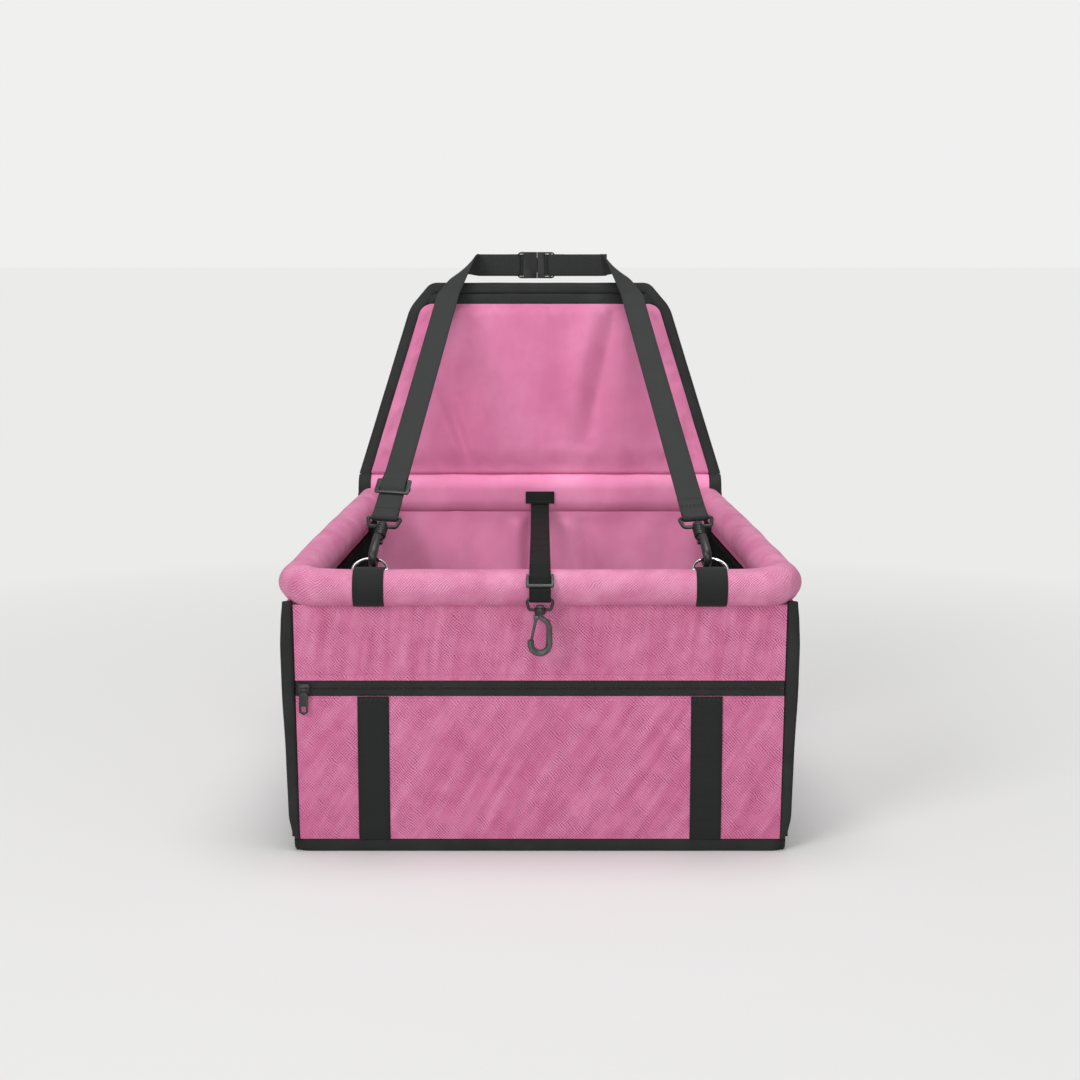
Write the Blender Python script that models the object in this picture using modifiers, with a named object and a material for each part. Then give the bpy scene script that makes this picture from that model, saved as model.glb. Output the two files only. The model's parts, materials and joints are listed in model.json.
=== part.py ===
"""Dog car seat: a fabric basket on a tube rim, held to a car seat by two straps.

Metres, +Z up, -Y to the front, +X to the right as seen from the front.
The origin is on the floor, under the middle of the rim.
"""
import math

import bmesh
import bpy
from mathutils import Matrix, Vector

# Gap between pieces that touch
GAP = 0.0003

# Rim: a padded sleeve on a tube frame, wider and lower at the front
RIM_FRONT_Y = -0.190
RIM_FRONT_Z = 0.2575
RIM_DEPTH = 0.396
RIM_RISE = 0.0262
RIM_FRONT_HALF = 0.2335
RIM_REAR_HALF = 0.186
SLEEVE_RADIUS = 0.0165
SLEEVE_WALL = 0.0032
FRONT_BEND = 0.024
REAR_BEND = 0.014
BEND_STEPS = 7

# Frame tubes and their corner fittings
TUBE_RADIUS = 0.010
TUBE_WALL = 0.0018
ELBOW_RADIUS = 0.0127
ELBOW_BORE = 0.0106
ELBOW_LEG = 0.024
TUBE_INSERT = 0.020

# Channel that holds the rear tube
CHANNEL_HEIGHT = 0.043
CHANNEL_DEPTH = 0.033
CHANNEL_WALL = 0.0026
CHANNEL_OVERHANG = 0.0172
CHANNEL_LIFT = 0.0053
CHANNEL_HALF = RIM_REAR_HALF + CHANNEL_OVERHANG
CHANNEL_PORT = 0.0145

# Base
BASE_HEIGHT = 0.012
BASE_SKIN = 0.0014
BASE_FRONT_Y = -0.1872
BASE_REAR_Y = 0.1765
BASE_SIDE_OFFSET = 0.0023
BASE_CORNER = 0.012
BINDING_HEIGHT = 0.012
BINDING_THICKNESS = 0.0025

# Front wall: outer panels, pocket and lining
FRONT_FACE_Y = -0.190
FRONT_TOP_INSET = 0.001
FRONT_FOOT_INSET = 0.004
FRONT_HALF_TOP = RIM_FRONT_HALF - FRONT_TOP_INSET
FRONT_HALF_FOOT = RIM_FRONT_HALF - FRONT_FOOT_INSET
PANEL_THICKNESS = 0.0038
POCKET_THICKNESS = 0.002
LINING_THICKNESS = 0.0025
LINING_Y = -0.1857
ZIP_CENTRE_Z = 0.160
ZIP_HEIGHT = 0.0145
ZIP_TAPE_THICKNESS = 0.0012
COIL_HEIGHT = 0.003
COIL_DEPTH = 0.0016
ZIP_END_INSET = 0.003

# Zip slider and pull
SLIDER_LENGTH = 0.0105
SLIDER_HEIGHT = 0.0095
SLIDER_PLATE = 0.0014
SLIDER_CAVITY_HEIGHT = 0.0046
SLIDER_REST_INSET = 0.009
SLIDER_REST_X = SLIDER_REST_INSET - FRONT_HALF_TOP
PULL_PIN_RADIUS = 0.0007
PULL_EYE_RADIUS = 0.0018
PULL_PIN_DROP = 0.0005
PULL_LENGTH = 0.0245
PULL_WIDTH = 0.0085
PULL_THICKNESS = 0.0016
PULL_HOLE_WIDTH = 0.0045
PULL_HOLE_HEIGHT = 0.0062
LUG_WIDTH = 0.0014

# Pocket straps
POCKET_STRAP_X = 0.158
POCKET_STRAP_WIDTH = 0.030
POCKET_STRAP_THICKNESS = 0.0016

# Side and rear walls
SIDE_THICKNESS = 0.003
SIDE_OFFSET = 0.004
SIDE_FRONT_Y = -0.1829
SIDE_BAND_HEIGHT = 0.020
MESH_BORDER = 0.012
MESH_COLUMNS = 12
MESH_ROWS = 6
MESH_CORD = 0.0022
REAR_THICKNESS = 0.003
REAR_FOOT_Y = 0.1725
REAR_TOP_Y = 0.2005

# Corner bindings
CORNER_WIDTH = 0.010
CORNER_FRONT_Y = -0.1915
CORNER_ROUND = 0.003
REAR_CORNER_WIDTH = 0.011
REAR_CORNER_THICKNESS = 0.0026

# Ring tabs on the front rim
TAB_X = 0.1605
TAB_WIDTH = 0.029
TAB_THICKNESS = 0.0016
TAB_FRONT_ANGLE = 255.0
TAB_REAR_ANGLE = -62.0
TAB_NOTCH_DEPTH = 0.0026
TAB_STEPS = 9

# D-rings
RING_WIRE = 0.0015
RING_HALF = 0.0163
RING_SIDE = 0.0012
RING_BAR_ANGLE = 50.0
RING_CORNER = 0.003

# Long straps
WEBBING_WIDTH = 0.025
WEBBING_THICKNESS = 0.0014
STRAP_TOP_X = 0.104
STRAP_TOP_Y = 0.260
STRAP_TOP_Z = 0.5085
STRAP_LIFT_X = 0.0900
STRAP_LIFT_Y = 0.2790
STRAP_LIFT_Z = 0.5320
STRAP_OVER_X = 0.0800
STRAP_OVER_Y = 0.3010
STRAP_OVER_Z = 0.5405
STRAP_TURN_X = 0.0700
STRAP_TURN_Y = 0.3160
STRAP_TURN_Z = 0.5395
STRAP_LIFT = Vector((STRAP_LIFT_X, STRAP_LIFT_Y, STRAP_LIFT_Z))
STRAP_OVER = Vector((STRAP_OVER_X, STRAP_OVER_Y, STRAP_OVER_Z))
STRAP_TURN = Vector((STRAP_TURN_X, STRAP_TURN_Y, STRAP_TURN_Z))
LAP_LENGTH = 0.030
RIGHT_LAP_LENGTH = 0.034
LAP_SPACING = 0.0020

# Swivel bows and snap hooks, measured along the strap from the ring bar
BOW_WIRE = 0.0019
BOW_HALF = 0.0166
BOW_HEIGHT = 0.014
BOW_CORNER = 0.004
BAR_STATION = 0.082
BARREL_RADIUS = 0.0052
BARREL_RIB = 0.0006
BARREL_RIB_COUNT = 4
BARREL_LENGTH = 0.016
BARREL_TOP = 0.002
SHANK_RADIUS = 0.0022
SHANK_CLEARANCE = 0.0004
HEAD_RADIUS = 0.0038
HEAD_HEIGHT = 0.002
HOOK_WIRE = 0.0026
HOOK_WIDEN = 1.5
HOOK_EYE = 0.006
HOOK_EYE_LENGTH = 0.0365
HOOK_NECK = 0.002
HOOK_SHOULDER = 0.008
NOSE_RISE = 0.0031
LUG_RADIUS = 0.0026
LUG_HALF = 0.0036
LUG_OFFSET = 0.0036
LUG_DROP = 0.003
GATE_RADIUS = 0.0015
HOOK_SLACK = 0.0021

# Strap adjuster
GLIDE_STATION = 0.131
GLIDE_LENGTH = 0.023
GLIDE_SIDE = 0.0045
GLIDE_BAR = 0.0035
GLIDE_PLATE = 0.002
GLIDE_BACK_BAR = 0.0015

# Safety tether
TETHER_WIDTH = 0.020
TETHER_PATCH_WIDTH = 0.032
TETHER_PATCH_HEIGHT = 0.0135
TETHER_PATCH_THICKNESS = 0.0018
TETHER_PATCH_Z = 0.2869
TETHER_ROUTE = [
    (0.1600, 0.2722), (0.1000, 0.2700), (0.0000, 0.2695), (-0.1000, 0.2712), (-0.1550, 0.2742),
]
TETHER_WRAP_FROM = 95.0
TETHER_WRAP_TO = 130.0
TETHER_BAR_Y = -0.2130
TETHER_BAR_Z = 0.2505
TETHER_BOW_WIRE = 0.0015
TETHER_BOW_HALF = 0.0128
TETHER_BOW_HEIGHT = 0.010
TETHER_BARREL_LENGTH = 0.004
TETHER_HOOK_LENGTH = 0.034
TETHER_GLIDE_LENGTH = 0.0155
TETHER_GLIDE_SIDE = 0.0026
TETHER_LAP = 0.009

# Back panel
HINGE_Z_RISE = 0.0003
PANEL_LEAN = 21.4
PANEL_START = 0.0012
PANEL_HEIGHT = 0.226
PANEL_HALF_FOOT = 0.2035
PANEL_HALF_SHOULDER = 0.1486
PANEL_HALF_TOP = 0.1254
PANEL_SHOULDER_DROP = 0.030
PAD_THICKNESS = 0.008
PAD_EDGE = 0.0028
SIDE_BINDING_WIDTH = 0.0135
TOP_BAND_HEIGHT = 0.0265
BINDING_PAD_THICKNESS = 0.0062

# Side-release buckle
BUCKLE_X = -0.0035
FEMALE_LENGTH = 0.0225
BUCKLE_HEIGHT = 0.0300
BUCKLE_DEPTH = 0.0080
BUCKLE_WALL = 0.0016
BUCKLE_ROUND = 0.004
BUCKLE_BAR = 0.0022
BUCKLE_SLOT = 0.0046
WINDOW_LENGTH = 0.009
MALE_LENGTH = 0.0205
MALE_FLANGE = 0.0045
ARM_WIDTH = 0.0032
ARM_DEPTH = 0.0036
ARM_REACH = 0.0135
ARM_SPREAD = 0.0082
BARB = 0.0022

OVERCUT = 0.004
ROUND_SIDES = 20
SMOOTH_ANGLE = math.radians(40)


def reset_scene():
    """Remove every object that the file starts with."""
    for obj in list(bpy.data.objects):
        bpy.data.objects.remove(obj, do_unlink=True)


def new_collection(name):
    collection = bpy.data.collections.new(name)
    bpy.context.scene.collection.children.link(collection)
    return collection


def make_material(name, color, roughness, metallic=0.0):
    material = bpy.data.materials.new(name)
    material.use_nodes = True
    shader = material.node_tree.nodes["Principled BSDF"]
    shader.inputs["Base Color"].default_value = (*color, 1.0)
    shader.inputs["Roughness"].default_value = roughness
    shader.inputs["Metallic"].default_value = metallic
    material.diffuse_color = (*color, 1.0)
    return material


reset_scene()
SEAT = new_collection("dog_car_seat")
CUTTERS = new_collection("cutters")

PINK = make_material("pink_oxford_cloth", (0.63, 0.16, 0.35), 0.85)
BLACK = make_material("black_binding_tape", (0.022, 0.022, 0.023), 0.85)
WEBBING = make_material("black_webbing", (0.027, 0.029, 0.028), 0.75)
NET = make_material("black_mesh", (0.012, 0.012, 0.012), 0.8)
PLASTIC = make_material("black_moulded_plastic", (0.018, 0.018, 0.019), 0.45)
GATE_PLASTIC = make_material("grey_moulded_plastic", (0.16, 0.16, 0.165), 0.4)
CHROME = make_material("chromed_wire", (0.75, 0.75, 0.76), 0.15, 1.0)
TUBE = make_material("grey_plastic_tube", (0.45, 0.46, 0.47), 0.5)
BOARD = make_material("base_board", (0.10, 0.10, 0.10), 0.7)


def rim_centre(y, side):
    """Point on the centre line of a side tube, for side -1 (left) or 1 (right)."""
    share = (y - RIM_FRONT_Y) / RIM_DEPTH
    half = RIM_FRONT_HALF + (RIM_REAR_HALF - RIM_FRONT_HALF) * share
    return Vector((side * half, y, RIM_FRONT_Z + RIM_RISE * share))


def side_x(y, offset):
    """Half width of a wall or base edge that runs parallel to the side tubes."""
    return rim_centre(y, 1).x + offset


def finish(obj, material, collection=SEAT):
    """Put an object in its collection, with its material and smooth round faces."""
    for owner in list(obj.users_collection):
        owner.objects.unlink(obj)
    collection.objects.link(obj)
    obj.data.materials.clear()
    if material is not None:
        obj.data.materials.append(material)
    if obj.type == "MESH":
        obj.data.shade_smooth()
        obj.data.set_sharp_from_angle(angle=SMOOTH_ANGLE)
    return obj


def curve_to_mesh(obj, merge=0.00001):
    """Replace a curve object by its mesh, with the caps welded on."""
    graph = bpy.context.evaluated_depsgraph_get()
    mesh = bpy.data.meshes.new_from_object(obj.evaluated_get(graph))
    work = bmesh.new()
    work.from_mesh(mesh)
    bmesh.ops.remove_doubles(work, verts=work.verts, dist=merge)
    bmesh.ops.recalc_face_normals(work, faces=work.faces)
    work.to_mesh(mesh)
    work.free()
    name = obj.name
    matrix = obj.matrix_world.copy()
    bpy.data.objects.remove(obj, do_unlink=True)
    solid = bpy.data.objects.new(name, mesh)
    solid.matrix_world = matrix
    SEAT.objects.link(solid)
    return solid


def poly_curve(name, loops, dimensions, cyclic):
    """Curve object with one POLY spline for each loop of points."""
    curve = bpy.data.curves.new(name, "CURVE")
    curve.dimensions = dimensions
    for loop in loops:
        spline = curve.splines.new("POLY")
        spline.points.add(len(loop) - 1)
        for point, place in zip(spline.points, loop):
            point.co = (*place, *([0.0] * (3 - len(place))), 1.0)
        spline.use_cyclic_u = cyclic
    obj = bpy.data.objects.new(name, curve)
    SEAT.objects.link(obj)
    return obj


def plate(name, outline, thickness, material, frame=Matrix(), holes=(), edge=0.0):
    """Flat outline in the frame's XY plane, half its thickness to each side."""
    obj = poly_curve(name, [outline, *holes], "2D", True)
    obj.data.fill_mode = "BOTH"
    obj.data.extrude = thickness / 2
    obj.matrix_world = frame
    bpy.context.view_layer.update()
    solid = curve_to_mesh(obj)
    if edge:
        bevel = solid.modifiers.new("edge", "BEVEL")
        bevel.width = edge
        bevel.segments = 2
        bevel.limit_method = "ANGLE"
    return finish(solid, material)


def bar(name, points, radius, material, resolution=4, cyclic=False):
    """Round bar or wire along points."""
    obj = poly_curve(name, [points], "3D", cyclic)
    obj.data.bevel_depth = radius
    obj.data.bevel_resolution = resolution
    obj.data.use_fill_caps = not cyclic
    bpy.context.view_layer.update()
    return finish(curve_to_mesh(obj), material)


def pipe(name, points, radius, wall, material, resolution=6):
    """Open-ended pipe along points: a bare skin, thickened inwards."""
    obj = poly_curve(name, [points], "3D", False)
    obj.data.bevel_depth = radius
    obj.data.bevel_resolution = resolution
    bpy.context.view_layer.update()
    solid = curve_to_mesh(obj)
    skin = solid.modifiers.new("wall", "SOLIDIFY")
    skin.thickness = wall
    skin.offset = -1.0
    return finish(solid, material)


def ribbon(name, points, across, width, thickness, material):
    """Flat webbing along points, its width along the matching across vectors."""
    work = bmesh.new()
    rows = []
    for point, direction in zip(points, across):
        step = direction.normalized() * width / 2
        rows.append((work.verts.new(point - step), work.verts.new(point + step)))
    for first, second in zip(rows, rows[1:]):
        work.faces.new((first[0], first[1], second[1], second[0]))
    mesh = bpy.data.meshes.new(name)
    work.to_mesh(mesh)
    work.free()
    obj = bpy.data.objects.new(name, mesh)
    SEAT.objects.link(obj)
    skin = obj.modifiers.new("thickness", "SOLIDIFY")
    skin.thickness = thickness
    skin.offset = 0.0
    skin.use_even_offset = True
    return finish(obj, material)


def box(name, low, high, material=None, collection=CUTTERS, frame=Matrix()):
    """Box between two corners of a frame."""
    low = Vector(low)
    high = Vector(high)
    mesh = bpy.data.meshes.new(name)
    work = bmesh.new()
    centre = (low + high) / 2
    size = high - low
    bmesh.ops.create_cube(work, size=1.0, matrix=Matrix.Translation(centre) @ Matrix.Diagonal((*size, 1.0)))
    work.to_mesh(mesh)
    work.free()
    obj = bpy.data.objects.new(name, mesh)
    obj.matrix_world = frame
    collection.objects.link(obj)
    return finish(obj, material, collection)


def rod(name, start, end, radius, material=None, collection=CUTTERS, sides=ROUND_SIDES, tip=None):
    """Cylinder or cone between two points."""
    start = Vector(start)
    end = Vector(end)
    axis = end - start
    turn = Vector((0.0, 0.0, 1.0)).rotation_difference(axis).to_matrix().to_4x4()
    mesh = bpy.data.meshes.new(name)
    work = bmesh.new()
    bmesh.ops.create_cone(
        work, cap_ends=True, segments=sides, radius1=radius, radius2=radius if tip is None else tip,
        depth=axis.length, matrix=Matrix.Translation((start + end) / 2) @ turn)
    work.to_mesh(mesh)
    work.free()
    obj = bpy.data.objects.new(name, mesh)
    collection.objects.link(obj)
    return finish(obj, material, collection)


def combine(obj, other, operation):
    """Boolean with a piece that then only serves as a cutter."""
    step = obj.modifiers.new(other.name, "BOOLEAN")
    step.operation = operation
    step.object = other
    step.solver = "EXACT"
    for owner in list(other.users_collection):
        owner.objects.unlink(other)
    CUTTERS.objects.link(other)
    other.hide_render = True
    other.display_type = "WIRE"
    return obj


def frame_at(origin, x_axis, z_axis):
    """Matrix with the given origin, Z axis and an X axis near the one given."""
    z_dir = Vector(z_axis).normalized()
    x_dir = (Vector(x_axis) - Vector(x_axis).dot(z_dir) * z_dir).normalized()
    y_dir = z_dir.cross(x_dir)
    matrix = Matrix((x_dir, y_dir, z_dir)).transposed().to_4x4()
    matrix.translation = Vector(origin)
    return matrix


def fillet(before, corner, after, radius, steps):
    """Points of the arc that rounds a corner."""
    back = (before - corner).normalized()
    ahead = (after - corner).normalized()
    half = back.angle(ahead) / 2
    centre = corner + (back + ahead).normalized() * radius / math.sin(half)
    start = corner + back * radius / math.tan(half) - centre
    end = corner + ahead * radius / math.tan(half) - centre
    turn = start.rotation_difference(end)
    axis, angle = turn.to_axis_angle()
    return [centre + Matrix.Rotation(angle * i / steps, 3, axis) @ start for i in range(steps + 1)]


def rounded(corners, radii, steps=3, closed=True):
    """Polyline or closed outline with each corner rounded to its radius."""
    corners = [Vector((*c, 0.0)) if len(c) == 2 else Vector(c) for c in corners]
    count = len(corners)
    points = []
    for i, corner in enumerate(corners):
        ends = not closed and i in (0, count - 1)
        if ends or radii[i] == 0:
            points.append(corner)
        else:
            points += fillet(corners[i - 1], corner, corners[(i + 1) % count], radii[i], steps)
    return points


def arc(centre_y, centre_z, radius, start, end, steps):
    """Points of an arc in the YZ plane, angles in degrees from +Y towards +Z."""
    points = []
    for i in range(steps + 1):
        angle = math.radians(start + (end - start) * i / steps)
        points.append((centre_y + radius * math.cos(angle), centre_z + radius * math.sin(angle)))
    return points


def spline_through(points, steps):
    """Smooth curve through points (Catmull-Rom)."""
    result = []
    for i in range(len(points) - 1):
        p0 = points[max(i - 1, 0)]
        p1 = points[i]
        p2 = points[i + 1]
        p3 = points[min(i + 2, len(points) - 1)]
        for k in range(steps):
            t = k / steps
            result.append(0.5 * (2 * p1 + (p2 - p0) * t + (2 * p0 - 5 * p1 + 4 * p2 - p3) * t ** 2
                                 + (3 * p1 - p0 - 3 * p2 + p3) * t ** 3))
    result.append(points[-1])
    return result


# Rim corners on the centre line of the tubes
CORNERS = {
    "front_left": rim_centre(RIM_FRONT_Y, -1),
    "front_right": rim_centre(RIM_FRONT_Y, 1),
    "rear_left": rim_centre(RIM_FRONT_Y + RIM_DEPTH, -1),
    "rear_right": rim_centre(RIM_FRONT_Y + RIM_DEPTH, 1),
}
REAR_Y = RIM_FRONT_Y + RIM_DEPTH
REAR_Z = RIM_FRONT_Z + RIM_RISE + CHANNEL_LIFT
CHANNEL_FRONT_Y = REAR_Y - CHANNEL_DEPTH / 2


def make_frame():
    """Four rim tubes that push into four corner fittings."""
    names = ["front_left", "front_right", "rear_right", "rear_left"]
    bends = {"front_left": FRONT_BEND, "front_right": FRONT_BEND, "rear_left": REAR_BEND, "rear_right": REAR_BEND}
    reach = {}
    for i, name in enumerate(names):
        corner = CORNERS[name]
        before = CORNERS[names[i - 1]]
        after = CORNERS[names[(i + 1) % 4]]
        half = (before - corner).angle(after - corner) / 2
        reach[name] = bends[name] / math.tan(half)
        path = fillet(before, corner, after, bends[name], BEND_STEPS)
        path = [path[0] + (before - corner).normalized() * ELBOW_LEG, *path,
                path[-1] + (after - corner).normalized() * ELBOW_LEG]
        pipe(f"elbow_{name}", path, ELBOW_RADIUS, ELBOW_RADIUS - ELBOW_BORE, TUBE)
    runs = {"front": (0, 1), "right": (1, 2), "rear": (2, 3), "left": (3, 0)}
    for name, (a, b) in runs.items():
        start = CORNERS[names[a]]
        end = CORNERS[names[b]]
        along = (end - start).normalized()
        start = start + along * (reach[names[a]] + ELBOW_LEG - TUBE_INSERT)
        end = end - along * (reach[names[b]] + ELBOW_LEG - TUBE_INSERT)
        pipe(f"rim_tube_{name}", [start, end], TUBE_RADIUS, TUBE_WALL, TUBE)


def stadium(height, depth, steps=6):
    """Upright slot outline: straight sides with round top and bottom."""
    radius = depth / 2
    rise = (height - depth) / 2
    return arc(0.0, rise, radius, 0, 180, steps) + arc(0.0, -rise, radius, 180, 360, steps)


def make_rim():
    """Padded sleeve round the front and sides, and the rear tube's channel."""
    left_end = rim_centre(CHANNEL_FRONT_Y + OVERCUT, -1)
    right_end = rim_centre(CHANNEL_FRONT_Y + OVERCUT, 1)
    path = rounded([left_end, CORNERS["front_left"], CORNERS["front_right"], right_end],
                   [0, FRONT_BEND, FRONT_BEND, 0], BEND_STEPS, closed=False)
    sleeve = pipe("rim_sleeve", path, SLEEVE_RADIUS, SLEEVE_WALL, PINK, resolution=8)
    trim_low = (-CHANNEL_HALF, CHANNEL_FRONT_Y - GAP, REAR_Z - CHANNEL_HEIGHT)
    trim_high = (CHANNEL_HALF, CHANNEL_FRONT_Y + CHANNEL_DEPTH, REAR_Z + CHANNEL_HEIGHT)
    wide = Vector((SLEEVE_RADIUS, 0, 0))
    combine(sleeve, box("sleeve_trim", Vector(trim_low) - wide, Vector(trim_high) + wide), "DIFFERENCE")

    # local X to world Y, local Y to world Z, local Z to world X
    along_x = frame_at((0, REAR_Y, REAR_Z), (0, 1, 0), (1, 0, 0))
    channel = plate("rear_channel", stadium(CHANNEL_HEIGHT, CHANNEL_DEPTH), 2 * CHANNEL_HALF, PINK, along_x)
    inner = stadium(CHANNEL_HEIGHT - 2 * CHANNEL_WALL, CHANNEL_DEPTH - 2 * CHANNEL_WALL)
    hollow = plate("channel_bore", inner, 2 * (CHANNEL_HALF - CHANNEL_WALL), None, along_x)
    combine(channel, hollow, "DIFFERENCE")
    for side, name in ((-1, "left"), (1, "right")):
        start = rim_centre(CHANNEL_FRONT_Y - OVERCUT, side)
        end = rim_centre(REAR_Y, side)
        combine(channel, rod(f"channel_port_{name}", start, end, CHANNEL_PORT), "DIFFERENCE")


def base_outline(front, rear, offset, radius):
    """Trapezoid of the base, its sides parallel to the rim's."""
    front_half = side_x(front, offset)
    rear_half = side_x(rear, offset)
    corners = [(-front_half, front), (front_half, front), (rear_half, rear), (-rear_half, rear)]
    return rounded(corners, [radius] * len(corners))


def make_base():
    """Stiff board in a flat cover that is open at the back, with a bound edge."""
    middle = Matrix.Translation((0, 0, BASE_HEIGHT / 2))
    cover = plate("base_cover", base_outline(BASE_FRONT_Y, BASE_REAR_Y, BASE_SIDE_OFFSET, BASE_CORNER),
                  BASE_HEIGHT, BLACK, middle)
    inset = BASE_SKIN
    pocket = base_outline(BASE_FRONT_Y + inset, BASE_REAR_Y + BASE_CORNER, BASE_SIDE_OFFSET - inset,
                          BASE_CORNER - inset)
    combine(cover, plate("base_pocket", pocket, BASE_HEIGHT - 2 * BASE_SKIN, None, middle), "DIFFERENCE")
    inset = BASE_SKIN + GAP
    board = base_outline(BASE_FRONT_Y + inset, BASE_REAR_Y - inset, BASE_SIDE_OFFSET - inset,
                         BASE_CORNER - inset)
    plate("base_board", board, BASE_HEIGHT - 2 * inset, BOARD, middle)

    inner = BASE_SIDE_OFFSET + GAP
    outer = inner + BINDING_THICKNESS
    front_in = BASE_FRONT_Y - GAP
    front_out = front_in - BINDING_THICKNESS
    corners = [
        (-side_x(BASE_REAR_Y, outer), BASE_REAR_Y), (-side_x(front_out, outer), front_out),
        (side_x(front_out, outer), front_out), (side_x(BASE_REAR_Y, outer), BASE_REAR_Y),
        (side_x(BASE_REAR_Y, inner), BASE_REAR_Y), (side_x(front_in, inner), front_in),
        (-side_x(front_in, inner), front_in), (-side_x(BASE_REAR_Y, inner), BASE_REAR_Y)]
    outer_round = BASE_CORNER + BINDING_THICKNESS
    radii = [0, outer_round, outer_round, 0, 0, BASE_CORNER, BASE_CORNER, 0]
    plate("base_binding", rounded(corners, radii), BINDING_HEIGHT, BLACK,
          Matrix.Translation((0, 0, BINDING_HEIGHT / 2)))


def upright(y):
    """Frame whose XY plane stands at depth y, X to the right and Y up."""
    return frame_at((0, y, 0), (1, 0, 0), (0, -1, 0))


def front_half_at(z):
    share = z / (RIM_FRONT_Z - SLEEVE_RADIUS)
    return FRONT_HALF_FOOT + (FRONT_HALF_TOP - FRONT_HALF_FOOT) * share


def strip_outline(low, high):
    """Part of the front wall between two heights."""
    return [(-front_half_at(low), low), (front_half_at(low), low),
            (front_half_at(high), high), (-front_half_at(high), high)]


def make_front_wall():
    """Upper panel, zip, pocket panel with its straps, and the lining behind."""
    top = RIM_FRONT_Z - SLEEVE_RADIUS - GAP
    zip_top = ZIP_CENTRE_Z + ZIP_HEIGHT / 2
    zip_foot = ZIP_CENTRE_Z - ZIP_HEIGHT / 2
    foot = BINDING_HEIGHT + GAP

    low = zip_top + GAP
    notch = top - TAB_NOTCH_DEPTH
    edge = TAB_WIDTH / 2 + GAP
    outline = [(-front_half_at(low), low), (front_half_at(low), low), (front_half_at(top), top)]
    for centre in (TAB_X, -TAB_X):
        outline += [(centre + edge, top), (centre + edge, notch), (centre - edge, notch), (centre - edge, top)]
    outline.append((-front_half_at(top), top))
    plate("front_panel", outline, PANEL_THICKNESS, PINK, upright(FRONT_FACE_Y + PANEL_THICKNESS / 2))
    plate("pocket_panel", strip_outline(foot, zip_foot - GAP), POCKET_THICKNESS, PINK,
          upright(FRONT_FACE_Y + POCKET_THICKNESS / 2))
    plate("front_lining", strip_outline(BASE_HEIGHT + GAP, top), LINING_THICKNESS, PINK,
          upright(LINING_Y + LINING_THICKNESS / 2))

    tape_y = upright(FRONT_FACE_Y + ZIP_TAPE_THICKNESS / 2)
    half_coil = COIL_HEIGHT / 2 + GAP
    plate("zip_tape_upper", strip_outline(ZIP_CENTRE_Z + half_coil, zip_top), ZIP_TAPE_THICKNESS, BLACK, tape_y)
    plate("zip_tape_lower", strip_outline(zip_foot, ZIP_CENTRE_Z - half_coil), ZIP_TAPE_THICKNESS, BLACK, tape_y)
    coil_half = front_half_at(ZIP_CENTRE_Z) - ZIP_END_INSET
    coil = box("zip_coil", (-coil_half, FRONT_FACE_Y, ZIP_CENTRE_Z - COIL_HEIGHT / 2),
               (coil_half, FRONT_FACE_Y + COIL_DEPTH, ZIP_CENTRE_Z + COIL_HEIGHT / 2), PLASTIC, SEAT)
    coil.location.y = -COIL_DEPTH / 2

    for side, name in ((-1, "left"), (1, "right")):
        centre = side * POCKET_STRAP_X
        half = POCKET_STRAP_WIDTH / 2
        strap_top = zip_foot - GAP
        outline = [(centre - half, foot), (centre + half, foot), (centre + half, strap_top), (centre - half, strap_top)]
        plate(f"pocket_strap_{name}", outline, POCKET_STRAP_THICKNESS, WEBBING,
              upright(FRONT_FACE_Y - GAP - POCKET_STRAP_THICKNESS / 2))


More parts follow.
